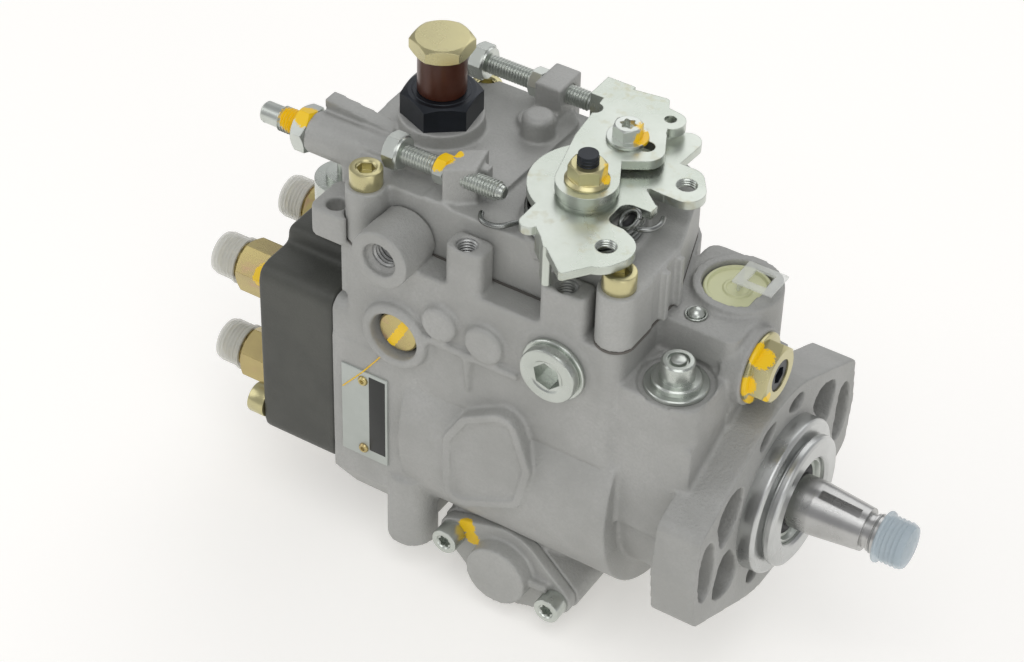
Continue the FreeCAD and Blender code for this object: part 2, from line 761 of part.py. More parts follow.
def governor_sleeve():
    """Sleeve on the pin, closed and rounded where it pushes the lever."""
    front = "weight_pivot_x - 1 - run_gap"
    blank = cylinder("sleeve_blank", "sleeve_radius", "sleeve_back", front, "X", GOVERNOR)
    nose = new("Part::Sphere", "sleeve_nose")
    bind(nose, "Radius", "2")
    place(nose, "X", "sleeve_back", GOVERNOR, Rotation())
    bore = cylinder("sleeve_bore", "governor_pin_radius + run_gap", "sleeve_back + 3", f"{front} + 1", "X", GOVERNOR)
    return node("governor_sleeve", cut("sleeve_bored", fuse("sleeve_whole", blank, nose), bore))


def governor_lever():
    """Lever between the sleeve and the control collar."""
    x, y, z = (size(name) for name in ("lever_x", "governor_y", "lever_pivot_z"))
    span = ("lever_x - lever_thickness / 2", "lever_x + lever_thickness / 2")
    upper = wrapped("lever_upper", "X", *span, [(y, z, 7.0), (-10.0, 74.5, 3.5)])
    lower = wrapped("lever_lower", "X", *span, [(0.0, size("lever_ball_z") + 7.0, 2.6), (y + 2, z, 7.0)])
    hub = cylinder("lever_hub", "5", "governor_y - 9", "governor_y + 9", "Y", ("lever_x", "lever_pivot_z"))
    neck = cylinder("lever_neck", "1.5", "lever_ball_z", "lever_ball_z + 8", "Z", ("lever_x", "0"))
    ball = new("Part::Sphere", "lever_ball")
    bind(ball, "Radius", "lever_ball_radius")
    place(ball, "Z", "lever_ball_z", ("lever_x", "0"), Rotation())
    bore = cylinder("lever_bore", "lever_pin_radius + run_gap", "governor_y - 10", "governor_y + 10", "Y",
                    ("lever_x", "lever_pivot_z"))
    return node("governor_lever", cut("lever_bored", fuse("lever_whole", upper, lower, hub, neck, ball), bore))


def control_collar():
    """Collar on the plunger that covers its spill hole."""
    ring = cylinder("collar_ring", "collar_radius", "lever_x - collar_width / 2", "lever_x + collar_width / 2")
    bore = cylinder("collar_bore", "plunger_radius + run_gap", "lever_x - collar_width", "lever_x + collar_width")
    seat = cylinder("collar_seat", "lever_ball_radius + 0.15", "lever_ball_z - lever_ball_radius - 0.35",
                    "collar_radius + 1", "Z", ("lever_x", "0"))
    return node("control_collar", cut("collar_cut", ring, bore, seat))


def pivot_plugs():
    """Two plugs in the housing's sides, whose pins carry the governor lever."""
    plugs = []
    for side, wall in (("near", -1), ("far", 1)):
        outer = "side_y - 0.5" if wall < 0 else "far_y - 1"
        inner = "cavity_near + 1" if wall < 0 else "cavity_far + 1"
        middle = "(-governor_y)" if wall < 0 else "governor_y"
        spans = [(inner, outer), (f"{middle} + 4", f"{inner} + 1"), (f"{outer} - 4", f"{outer} + 1")]
        if wall < 0:
            spans = [(f"-({high})", f"-({low})") for low, high in spans]
        centre = ("lever_x", "lever_pivot_z")
        body = cylinder(f"pivot_plug_{side}", "port_hole - 0.7", *spans[0], "Y", centre)
        pin = cylinder(f"pivot_pin_{side}", "lever_pin_radius", *spans[1], "Y", centre)
        plugs.append(fuse(f"pivot_{side}", body, pin))
    return node("pivot_plugs", group("pivot_pair", *plugs))


def flange():
    """Lozenge flange with its two curved bolt slots and the windows beside the pilot."""
    tip, middle = size("flange_tip_radius"), size("flange_middle")
    reach = size("flange_tip_centre")
    plate = wrapped("flange_plate", "X", "-flange_depth", "0",
                    [(0.0, 0.0, middle), (reach, 0.0, tip), (0.0, 0.0, middle), (-reach, 0.0, tip)])
    cuts = []
    for name, first, last, inner, outer, depth in (
        ("slot", -size("slot_half_angle"), size("slot_half_angle"), size("slot_circle") - size("slot_half_width"),
         size("slot_circle") + size("slot_half_width"), size("flange_depth")),
        ("window_high", 14, 38, 28, 36.5, size("window_depth")),
        ("window_low", -28, -4, 28, 36.5, size("window_depth")),
        ("window_top", 66, 84, 27.5, 32, size("window_depth")),
        ("window_foot", -84, -66, 27.5, 32, size("window_depth")),
    ):
        for side in (0, 180):
            angles = (first, last) if side == 0 else (180 - last, 180 - first)
            cuts.append(extruded(f"flange_{name}_{side}", "X", str(-depth - 1 if name == "slot" else -depth), "1",
                                 arc_slot(*angles, inner, outer)))
    return plate, cuts


def arc_slot(first, last, inner, outer):
    """Slot between two angles and two radii with straight ends."""
    points = {}
    for key, radius in (("inner", inner), ("outer", outer)):
        points[key] = [Vector(radius * math.cos(math.radians(angle)), radius * math.sin(math.radians(angle)), 0)
                       for angle in (first, (first + last) / 2, last)]
    inside, outside = points["inner"], points["outer"]
    return Part.Wire([Part.Arc(*outside).toShape(), Part.makeLine(outside[2], inside[2]),
                      Part.Arc(*reversed(inside)).toShape(), Part.makeLine(inside[0], outside[0])])


def head_outline(low, foot, rise):
    """Corner circles of the head, or of the housing before it, above a low edge."""
    side, top = size("head_half") - 4, size("head_top")
    return [(-foot, 4 - low, 4.0), (foot, 4 - low, 4.0), (side, rise - low, 4.0), (side - 0.5, top - 10, 4.5),
            (0.5 - side, top - 10, 4.5), (-side, rise - low, 4.0)]


def head_pad(name, start, end):
    """Flat pad along the top of the head and the housing's rear."""
    return wrapped(name, "X", start, end, rounded_rectangle(-24.5, 24.5, 17.0, size("head_top"), 3.0))


def upper_outline(high_x, near, far, cut_y, inset, radius):
    """Corner circles of the housing's upper part, whose far front corner is cut off."""
    low_x = size("barrel_end") + inset
    return [(low_x, near, radius), (high_x, near, radius), (high_x, cut_y, radius),
            (high_x - 7.5, cut_y + 24, radius), (high_x - 18, far, radius), (low_x, far, radius)]


def housing_body():
    """Outer forms of the housing."""
    plate, windows = flange()
    near, far = size("side_y"), size("far_y")
    rear_end = "housing_rear + rear_section_length"
    corner = size("corner_radius")
    band = upper_outline(size("upper_front") - corner, corner - near, far - corner, -4.0, corner, corner)
    rear = wrapped("rear_section", "X", "housing_rear", rear_end, head_outline(size("rear_low"), 26.0, 18.0))
    deck = rounded_rectangle(size("housing_rear") + 4, size("barrel_end") + 12, -near, far, 4.0)
    step = rounded_rectangle(size("upper_front") - 4, -11.0, -38.0, -12.0, 5.0)
    block = rounded_rectangle(size("upper_front") - 4, -10.2, -17.0, 21.0, 4.0)
    solids = [
        plate,
        cylinder("pilot", "pilot_radius", "-1", "pilot_length"),
        cylinder("nose_groove", "groove_radius", "pilot_length - 1", "pilot_length + groove_width"),
        cylinder("nose", "nose_radius", "pilot_length + groove_width", "nose_end"),
        cylinder("neck", "barrel_neck", "barrel_start - 1", "-flange_depth + 1"),
        cylinder("barrel", "barrel_radius", "barrel_end - 1", "barrel_start"),
        rear,
        head_pad("rear_pad", "housing_rear", rear_end),
        wrapped("upper_band", "Z", "20", "deck_z", band),
        wrapped("rear_deck", "Z", "rear_floor - 16", "deck_z", deck),
        wrapped("front_step", "Z", "0", "52", step),
        wrapped("front_block", "Z", "0", "deck_z", block),
        cylinder("locknut_seat", "12", "-14", "-7", "X", GOVERNOR),
        cylinder("inlet_boss", "inlet_radius", "24", "inlet_top", "Z", ("inlet_x", "inlet_y")),
        wrapped("post_rear", "Z", "46", "post_top", rounded_rectangle(
            size("post_rear_x") - 5.6, size("post_rear_x") + 7.0, -near, -31.4, 2.5)),
        wrapped("post_front", "Z", "46", "post_top", rounded_rectangle(
            size("post_front_x") - 7.2, size("post_front_x") + 7.8, -near, -31.4, 2.5)),
        cylinder("side_boss", "side_boss_radius", "-side_boss_face", "-31.5", "Y", ("side_boss_x", "side_boss_z")),
        box("side_boss_web", ("side_boss_x - 8", "side_boss_x + 8"), ("-side_y + 1", "-31.5"),
            ("deck_z - 8", "side_boss_z")),
        wrapped("rear_lug", "Z", "63", "73", rounded_rectangle(-140.5, -126.5, -41.0, -25.0, 3.0)),
        box("rear_lug_web", ("-130.4", "-126.5"), ("-39", "-27"), ("44", "deck_z")),
        cylinder("port_ring", "port_radius", "-side_y - 1.5", "-20", "Y", ("port_x", "port_z")),
        cylinder("far_port_ring", "port_radius", "18", "far_y + 1", "Y", ("port_x", "port_z")),
        cylinder("side_plug_boss", "plug_boss_radius", "-side_y - 0.5", "-20", "Y", ("plug_x", "plug_z")),
        cylinder("pad_rear", "6", "-side_y - 1.5", "-30", "Y", ("-94", "49.5")),
        cylinder("pad_front", "6.5", "-side_y - 1.5", "-30", "Y", ("-78.5", "49")),
        wrapped("side_boss_block", "Y", "-45", "-20", [(x, z, 6.0) for x, z in (
            (-84.0, -9.0), (-68.0, -1.5), (-65.5, 10.0), (-70.0, 22.0), (-79.5, 16.5), (-84.5, 8.0))]),
        wrapped("timing_boss", "Y", "-timing_half_width", "timing_half_width", timing_outline(0.6)),
        cylinder("foot", "foot_radius", "-foot_bottom", "-20", "Z", ("foot_x", "foot_y")),
    ]
    return fuse("housing_outside", *solids), windows


def housing_hollows(windows):
    """Bores, chambers and threaded holes of the housing."""
    rear, front = size("barrel_end") - 17, size("pump_seat") - 4
    near, far = 4 - size("cavity_near"), size("cavity_far") - 4
    cavity = [(rear, near, 4.0), (front, near, 4.0), (front, 8.0, 4.0), (front - 11, far, 4.0), (rear, far, 4.0)]
    tools = [
        cylinder("seal_bore", "seal_radius + 0.02", "nose_end - seal_width", "nose_end + 1"),
        cylinder("bush_bore", "bush_radius + 0.02", "-45", "nose_end - seal_width + 1"),
        cylinder("pump_bore", "ring_outer + 0.02", "pump_seat - 1", "vane_front"),
        cylinder("main_bore", "chamber_radius", "housing_rear - 1", "pump_seat"),
        wrapped("governor_bay", "Z", "0", "deck_z + 1", cavity),
        cylinder("timing_bore", "timing_radius + run_gap", "-timing_half_width - 1", "timing_half_width + 1", "Y",
                 ("timing_x", "-timing_drop")),
        cylinder("governor_tap", "governor_thread_radius + 0.02", "-60", "1", "X", GOVERNOR),
        cylinder("side_boss_hole", "side_boss_hole", "-side_boss_face - 1", "-34", "Y",
                 ("side_boss_x", "side_boss_z")),
        cylinder("side_boss_sink", "side_boss_hole + 1.6", "-side_boss_face - 1", "-side_boss_face + 3", "Y",
                 ("side_boss_x", "side_boss_z")),
        cylinder("block_pocket", "8.5", "-46", "-43.6", "Y", ("-75.5", "7")),
        cylinder("lug_hole", "3.1", "62", "74", "Z", ("-134", "-35.5")),
        cylinder("port_tap", "port_hole - 0.68", "-side_y - 3", "-20", "Y", ("port_x", "port_z")),
        cylinder("port_sink", "port_hole", "-side_y - 3", "-side_y + 2", "Y", ("port_x", "port_z")),
        cylinder("far_port_tap", "port_hole - 0.68", "20", "far_y + 2", "Y", ("port_x", "port_z")),
        cylinder("plug_tap", "plug_radius - 2.98", "-side_y - 2", "-cavity_near + 1", "Y", ("plug_x", "plug_z")),
        cylinder("stub_tap", "stub_radius - 0.98", "52 - 9", "53", "Z", ("stub_x", "stub_y")),
        cylinder("stub_sink", "11.5", "50.5", "53", "Z", ("stub_x", "stub_y")),
        cylinder("ball_tap", "ball_radius + 0.02", "deck_z - 4", "deck_z + 1", "Z", ("ball_x", "ball_y")),
        cylinder("inlet_tap", "inlet_bore", "inlet_top - 22", "inlet_top + 1", "Z", ("inlet_x", "inlet_y")),
    ]
    for index, x in enumerate(("post_rear_x", "post_front_x")):
        tools.append(cylinder(f"post_tap_{index}", "post_hole", "post_top - 14", "post_top + 1", "Z", (x, "-36")))
    for index, (x, y) in enumerate(cover_screw_places()):
        tools.append(cylinder(f"cover_tap_{index}", "screw_radius + 0.02", "deck_z - 11", "deck_z + 1", "Z", (x, y)))
    for index, (y, z) in enumerate(head_screw_places()):
        tools.append(cylinder(f"head_tap_{index}", "screw_radius + 0.02", "housing_rear - 1", "housing_rear + 14",
                              "X", (y, z)))
    for index, centre in enumerate(timing_screw_places()):
        for side, span in ((0, ("-timing_half_width - 1", "-timing_half_width + 10")),
                           (1, ("timing_half_width - 10", "timing_half_width + 1"))):
            tools.append(cylinder(f"timing_tap_{index}_{side}", "screw_radius - 0.48", *span, "Y", centre))
    tools += cover_footprint("cover_space", "deck_z", "deck_z + 40", 0.3)
    tools.append(wrapped("near_spot", "Y", "-60", "-timing_half_width", timing_outline(0.3)))
    tools.append(wrapped("far_spot", "Y", "timing_half_width", "60", timing_outline(0.3)))
    return tools + windows


def pump_housing():
    """The cast housing, which carries every other piece."""
    outside, windows = housing_body()
    return node("pump_housing", cut("housing_machined", outside, *housing_hollows(windows)))


def cover_screw_places():
    """Four cover screws, as two on each side."""
    rear, front, near = "cover_screw_rear", "cover_screw_front", "-cover_screw_near"
    return [(rear, near), (front, near), (rear, "far_y - 5.5"), ("cover_screw_far_front", "far_y - 5.5")]


def cover_seat(index):
    """Seat of a cover screw: the two far ones lie low, under the stop screw and the adjusting lever."""
    return "(cover_screw_seat - 8)" if index >= 2 else "cover_screw_seat"


def head_screw_places():
    circle, angle = size("head_screw_circle"), math.radians(size("head_screw_angle"))
    y, z = circle * math.cos(angle), circle * math.sin(angle)
    return [(str(u), str(w)) for u, w in ((-y, -z), (y, -z), (y, z))]


def valve_places():
    return [(f"{u} * valve_square", f"{w} * valve_square") for u, w in ((1, 1), (-1, 1), (-1, -1), (1, -1))]


HEAD_BACK = "housing_rear - head_thickness"
HEAD_SEAT = "housing_rear - head_thickness - head_step"


def distributor_head():
    """Head with its raised round face, four outlets, spigot and the barrel for the plunger."""
    back, seat = HEAD_BACK, HEAD_SEAT
    block = wrapped("head_block", "X", back, "housing_rear", head_outline(size("head_low"), 22.0, 15.0))
    pad = head_pad("head_block_pad", back, "housing_rear")
    face = cylinder("head_face", "head_face_radius", seat, f"{back} + 1")
    spigot = cylinder("head_spigot", "chamber_radius - run_gap", "housing_rear - 1", "housing_rear + 5.5")
    barrel = cylinder("head_barrel", "14", "housing_rear - 1", "lever_x - collar_width / 2 - 1.5")
    tools = [
        cylinder("head_bore", "plunger_radius + 0.03", back + " + 8", "housing_rear + 30"),
        cylinder("head_vent", "6.02", seat + " - 1", seat + " + 9"),
        cylinder("solenoid_seat", "6.02", "valve_square + 12", "head_top + 1", "Z", ("solenoid_x", "solenoid_y")),
    ]
    for index, (y, z) in enumerate(valve_places()):
        tools.append(cylinder(f"head_valve_bore_{index}", "valve_thread + 0.02", seat + " - 1", seat + " + 12", "X",
                              (y, z)))
    for index, (y, z) in enumerate(head_screw_places()):
        tools.append(cylinder(f"head_screw_bore_{index}", "screw_radius + 0.2", back + " - 1", "housing_rear + 1",
                              "X", (y, z)))
    return node("distributor_head", cut("head_machined", fuse("head_whole", block, pad, face, spigot, barrel), *tools))


def head_screws():
    screws = [cap_screw(f"head_screw_{index}", "X", "(housing_rear - head_thickness)", -1, (y, z),
                        "head_thickness + 10") for index, (y, z) in enumerate(head_screw_places())]
    return node("head_screws", group("head_screw_set", *screws))


def central_plug():
    """Plug on the head's middle with its small vent screw."""
    seat = HEAD_SEAT
    thread = cylinder("centre_thread", "6", f"{seat}", f"{seat} + 7")
    hexed = hexagon("centre_hex", "centre_flats", f"{seat} - centre_hex", seat)
    vent = hexagon("centre_vent", "8", f"{seat} - centre_hex - 4", f"{seat} - centre_hex")
    return node("central_plug", fuse("centre_whole", thread, hexed, vent))


def valve_holders():
    """Four delivery valve holders with their through bores."""
    seat = HEAD_SEAT
    holders = []
    for index, centre in enumerate(valve_places()):
        thread = cylinder(f"holder_thread_{index}", "valve_thread", f"{seat} - valve_reach + 5", f"{seat} + 10",
                          "X", centre)
        hexed = hexagon(f"holder_hex_{index}", "valve_flats", f"{seat} - valve_hex", seat, "X", centre)
        bore = cylinder(f"holder_bore_{index}", "1.2", f"{seat} - valve_reach", f"{seat} + 11", "X", centre)
        cone_seat = cone(f"holder_cone_{index}", "3.5", "1.2", f"{seat} - valve_reach + 4.9",
                         f"{seat} - valve_reach + 9", "X", centre)
        holders.append(cut(f"holder_{index}", fuse(f"holder_whole_{index}", thread, hexed), bore, cone_seat))
    return node("valve_holders", group("holder_set", *holders))


def valve_caps():
    """Clear caps over the outlets."""
    seat = HEAD_SEAT
    caps = []
    for index, centre in enumerate(valve_places()):
        start, end = f"{seat} - valve_hex - 1 - valve_cap_length", f"{seat} - valve_hex - 1"
        outer = cylinder(f"cap_outer_{index}", "valve_cap_radius", start, end, "X", centre)
        inner = cylinder(f"cap_inner_{index}", "valve_thread + 0.02", f"{start} + 1.5", f"{end} + 1", "X", centre)
        caps.append(cut(f"cap_{index}", outer, inner))
    return node("valve_caps", group("cap_set", *caps))


def shutoff_solenoid():
    """Fuel stop solenoid screwed into the top of the head."""
    centre = ("solenoid_x", "solenoid_y")
    parts = [
        cylinder("solenoid_thread", "6", "head_top - 10", "head_top", "Z", centre),
        hexagon("solenoid_hex", "17", "head_top", "head_top + 6", "Z", centre),
        cylinder("solenoid_can", "solenoid_radius", "head_top + 6", "solenoid_top - 5", "Z", centre),
        cylinder("solenoid_insulator", "solenoid_radius - 3.5", "solenoid_top - 5", "solenoid_top - 3", "Z", centre),
        cylinder("solenoid_post", "2", "solenoid_top - 3", "solenoid_top + 3", "Z", centre),
    ]
    return node("shutoff_solenoid", fuse("solenoid_whole", *parts))


def cover_footprint(name, low, high, extra):
    """The cover's rim with its four screw lugs, grown by extra."""
    shapes = [wrapped(f"{name}_middle", "Z", low, high, cover_plan(extra))]
    for index, (x, y) in enumerate(cover_screw_places()):
        inward = 8.0 if y.startswith("-") else -8.0
        x_now, y_now = cover_screw_spots()[index]
        shapes.append(wrapped(f"{name}_lug_{index}", "Z", low, high, [
            (x_now, min(y_now, y_now + inward), 6.2 + extra), (x_now, max(y_now, y_now + inward), 6.2 + extra)]))
    return shapes


def cover_screw_spots():
    """Values of the cover screws' places."""
    near, far = -size("cover_screw_near"), size("far_y") - 5.5
    rear, front = size("cover_screw_rear"), size("cover_screw_front")
    return [(rear, near), (front, near), (rear, far), (size("cover_screw_far_front"), far)]


def cover_plan(grown):
    """Corner circles of the cover's body with its far front corner cut off, grown or drawn in."""
    corner = size("cover_corner")
    rear, front = size("cover_screw_rear") - 9.6 + corner, size("cover_front") - corner
    near, far = corner - size("cover_near"), size("cover_far") - 3.5 - corner
    places = [(rear, near), (front, near), (front, -10.0), (front - 9.4, 18.0), (front - 21.4, far), (rear, far)]
    return [(x, y, corner + grown) for x, y in places]


def governor_cover():
    """Cover with its shaft boss, union boss, stop lugs and screw lugs."""
    roof = "cover_roof"
    solids = [
        wrapped("cover_walls", "Z", "deck_z + gasket_width", roof, cover_plan(0.0)),
        *cover_footprint("cover_rim", "deck_z + gasket_width", "deck_z + gasket_width + cover_flange", 0.0),
        wrapped("cover_hump", "Z", "cover_roof - 6", "cover_rear_top", [
            (-132.0, -14.0, 8.0), (-96.0, -14.0, 8.0), (-96.0, 20.0, 9.0), (-132.0, 20.0, 9.0)]),
        cylinder("union_boss", "union_boss_radius", "deck_z + gasket_width + 4", "union_boss_top", "Z", ("union_x", "0")),
        cylinder("throttle_boss_pad", "throttle_boss + 5", "cover_roof - cover_wall - 0.1", "cover_roof + 1", "Z",
                 ("throttle_x", "throttle_y")),
        cylinder("throttle_boss_neck", "throttle_boss", "cover_roof", "throttle_boss_top", "Z",
                 ("throttle_x", "throttle_y")),
        cylinder("full_load_tube", "full_load_boss", "full_load_boss_end", "-124", "X",
                 ("full_load_y", "full_load_z")),
        box("full_load_web", ("-141", "-128"), ("full_load_y - 6", "full_load_y + 10"),
            ("deck_z + gasket_width + 4", "full_load_z")),
        extruded("full_load_rib", "Y", "-12.5", "-7.5", polygon_wire([
            (-154.0, 79.0), (-138.0, 74.0), (-128.0, 82.0), (-130.0, 86.5), (-154.0, 89.0)])),
        box("near_stop_lug", ("near_lug_x", "near_lug_x + stop_lug_length"),
            ("stop_near_y - stop_lug_width / 2", "stop_near_y + stop_lug_width / 2"), ("deck_z + gasket_width + 3", "stop_lug_top")),
        box("near_lug_wall", ("near_lug_x + stop_lug_length - 1", "near_lug_x + stop_lug_length + 7"),
            ("stop_near_y + 3.3", "stop_near_y + stop_lug_width / 2"), ("cover_roof - 1", "stop_lug_top - 2")),
        box("far_stop_lug", ("far_lug_x", "far_lug_x + stop_lug_length"),
            ("stop_far_y - stop_lug_width / 2", "stop_far_y + stop_lug_width / 2"), ("deck_z + gasket_width + 3", "stop_lug_top")),
        cylinder("far_round_boss", "6", "deck_z + gasket_width + 4", "cover_rear_top + 2", "Z", ("-98", "17")),
        box("rear_lug_far", ("-133", "-126"), ("25", "31"), ("deck_z + gasket_width + 4", "cover_rear_top + 4")),
    ]
    for index, (x, y) in enumerate(cover_screw_places()):
        solids.append(cylinder(f"cover_lug_{index}", "6.2", "deck_z + gasket_width", cover_seat(index), "Z", (x, y)))
        inward = 1 if y.startswith("-") else -1
        span = (y, f"{y} + 9") if inward > 0 else (f"{y} - 9", y)
        solids.append(box(f"cover_lug_web_{index}", (f"{x} - 6.2", f"{x} + 6.2"), span,
                          ("deck_z + gasket_width", f"{cover_seat(index)} - 0.5")))
    for index, y in enumerate(("-20", "-12")):
        solids.append(box(f"front_fin_{index}", ("cover_front - 3", "cover_front + 2"), (y, f"{y} + 2.2"),
                          ("deck_z + gasket_width", "cover_roof - 1.5")))
    low = "deck_z + gasket_width - 1"
    tools = [
        wrapped("cover_hollow", "Z", low, "cover_roof - cover_wall", cover_plan(-size("cover_wall"))),
        cylinder("throttle_bore", "throttle_radius + run_gap", low, "throttle_boss_top + 1", "Z",
                 ("throttle_x", "throttle_y")),
        cylinder("union_tap", "7.02", low, "union_boss_top + 1", "Z", ("union_x", "0")),
        cylinder("full_load_tap", "full_load_thread + 0.02", "full_load_boss_end - 1", "-120", "X",
                 ("full_load_y", "full_load_z")),
        cylinder("near_stop_tap", "stop_screw_radius + 0.02", "near_lug_x - 1", "near_lug_x + 12", "X",
                 ("stop_near_y", "stop_z")),
        cylinder("far_stop_tap", "stop_screw_radius + 0.02", "far_lug_x - 1", "far_lug_x + 12", "X",
                 ("stop_far_y", "stop_z")),
    ]
    for index, (x, y) in enumerate(cover_screw_places()):
        tools.append(cylinder(f"cover_hole_{index}", "screw_radius + 0.2", low, "cover_screw_seat + 1", "Z", (x, y)))
        tools.append(cylinder(f"cover_spot_{index}", "5.8", cover_seat(index), f"{cover_seat(index)} + 16", "Z",
                              (x, y)))
    return node("governor_cover", cut("cover_machined", fuse("cover_outside", *solids), *tools))


def cover_gasket():
    """Thin seal between the housing and the cover."""
    sheet_solid = fuse("gasket_sheet", *cover_footprint("gasket", "deck_z", "deck_z + gasket_width", 0.0))
    hole = wrapped("gasket_window", "Z", "deck_z - 1", "deck_z + gasket_width + 1", cover_plan(-size("cover_wall") - 1))
    holes = [cylinder(f"gasket_hole_{index}", "screw_radius + 0.2", "deck_z - 1", "deck_z + gasket_width + 1", "Z", place_now)
             for index, place_now in enumerate(cover_screw_places())]
    return node("cover_gasket", cut("gasket_cut", sheet_solid, hole, *holes))


def cover_screws():
    screws = [cap_screw(f"cover_screw_{index}", "Z", cover_seat(index), 1, place_now,
                        f"({cover_seat(index)} - deck_z + 10)")
              for index, place_now in enumerate(cover_screw_places())]
    return node("cover_screws", group("cover_screw_set", *screws))


def overflow_parts():
    """Union, sleeve and bolt that stand on the cover."""
    centre = ("union_x", "0")
    top = "union_boss_top + union_hex"
    thread = cylinder("union_thread", "7", "union_boss_top - 9", "union_boss_top", "Z", centre)
    washer = cylinder("union_washer", "union_flats / 2", f"{top} - 0.5", f"{top} + 0.6", "Z", centre)
    hexed = hexagon("union_hex_solid", "union_flats", "union_boss_top", f"{top} - 0.5", "Z", centre)
    bore = cylinder("union_bore", "4.02", "union_boss_top - 10", f"{top} + 1", "Z", centre)
    node("overflow_union", cut("union_bored", fuse("union_whole", thread, hexed, washer), bore))
    sleeve = cylinder("sleeve_tube", "union_sleeve_radius", f"{top} + 0.6", f"{top} + 0.6 + union_sleeve_length",
                      "Z", centre)
    inner = cylinder("sleeve_inner", "4.02", f"{top} - 1", f"{top} + union_sleeve_length + 2", "Z", centre)
    node("overflow_sleeve", cut("sleeve_tube_bored", sleeve, inner))
    seat = f"{top} + 0.6 + union_sleeve_length"
    shank = cylinder("overflow_shank", "4", "union_boss_top - 6", seat, "Z", centre)
    crown = hexagon("overflow_hex", "union_bolt_flats", seat, f"{seat} + union_bolt_hex", "Z", centre)
    node("overflow_bolt", fuse("overflow_bolt_whole", shank, crown))


def full_load_screw():
    """Slotted adjusting screw with its locknut."""
    centre = ("full_load_y", "full_load_z")
    nut_end = "full_load_boss_end - full_load_nut"
    tip = f"{nut_end} - 8 - full_load_pin_length"
    thread = cylinder("full_load_rod", "full_load_thread", f"{nut_end} - 8", "-122", "X", centre)
    pin = cylinder("full_load_pin", "full_load_thread - 0.6", tip, f"{nut_end} - 8", "X", centre)
    slot = box("full_load_slot", (f"{tip} - 1", f"{tip} + 2.5"),
               ("full_load_y - 5", "full_load_y + 5"), ("full_load_z - 0.7", "full_load_z + 0.7"))
    node("full_load_screw", cut("full_load_slotted", fuse("full_load_whole", thread, pin), slot))
    nut = hexagon("full_load_hex", "full_load_flats", nut_end, "full_load_boss_end", "X", centre)
    hole = cylinder("full_load_hole", "full_load_thread + 0.02", f"{nut_end} - 1", "full_load_boss_end + 1", "X",
                    centre)
    node("full_load_locknut", cut("full_load_nut_cut", nut, hole))


def stop_parts():
    """Two stop screws, each with its locknut."""
    screws, nuts = [], []
    for name, y, head, tip, lug in (("near", "stop_near_y", "stop_near_head", "stop_near_tip", "near_lug_x"),
                                    ("far", "stop_far_y", "stop_far_head", "stop_far_tip", "far_lug_x")):
        centre = (y, "stop_z")
        rod = cylinder(f"stop_rod_{name}", "stop_screw_radius", head, tip, "X", centre)
        flange_disc = cylinder(f"stop_flange_{name}", "stop_flats / 2 + 1.6", head, f"{head} + 1.2", "X", centre)
        hexed = hexagon(f"stop_hex_{name}", "stop_flats + 1", f"{head} - 4", head, "X", centre)
        screws.append(fuse(f"stop_screw_{name}", rod, flange_disc, hexed))
        nut = hexagon(f"stop_nut_{name}", "stop_flats", f"{lug} - 4", lug, "X", centre)
        hole = cylinder(f"stop_nut_hole_{name}", "stop_screw_radius + 0.02", f"{lug} - 5", f"{lug} + 1", "X", centre)
        nuts.append(cut(f"stop_nut_cut_{name}", nut, hole))
    node("stop_screws", group("stop_screw_set", *screws))
    node("stop_nuts", group("stop_nut_set", *nuts))


def throttle_shaft():
    """Shaft through the cover, with the eccentric pin below and the stud above."""
    centre = ("throttle_x", "throttle_y")
    flats = "control_lever_z"
    top = "control_lever_z + control_lever_thickness + lever_spacer + adjust_lever_thickness"
    shank = cylinder("throttle_shank", "throttle_radius", "cover_roof - cover_wall - 1", f"{flats} - 0.2", "Z", centre)
    disc = cylinder("throttle_disc", "throttle_radius + 2.5", "cover_roof - cover_wall - 3",
                    "cover_roof - cover_wall - 1", "Z", centre)
    pin = cylinder("throttle_pin", "1.6", "cover_roof - cover_wall - 6.5", "cover_roof - cover_wall - 2.5", "Z",
                   ("throttle_x - 6", "throttle_y"))
    neck = cylinder("throttle_neck", "stud_radius + 1", f"{flats} - 0.3", f"{top} - 0.5", "Z", centre)
    stud = cylinder("throttle_stud", "stud_radius", f"{top} - 1", f"{top} + nut_height + stud_reach", "Z", centre)
    return node("throttle_shaft", fuse("throttle_whole", shank, disc, pin, neck, stud))


LEVER_EYES = {"front": (-45.4, -31.9), "side": (-40.7, 5.1)}
SPRING_EYE = (-57.4, 24.4)


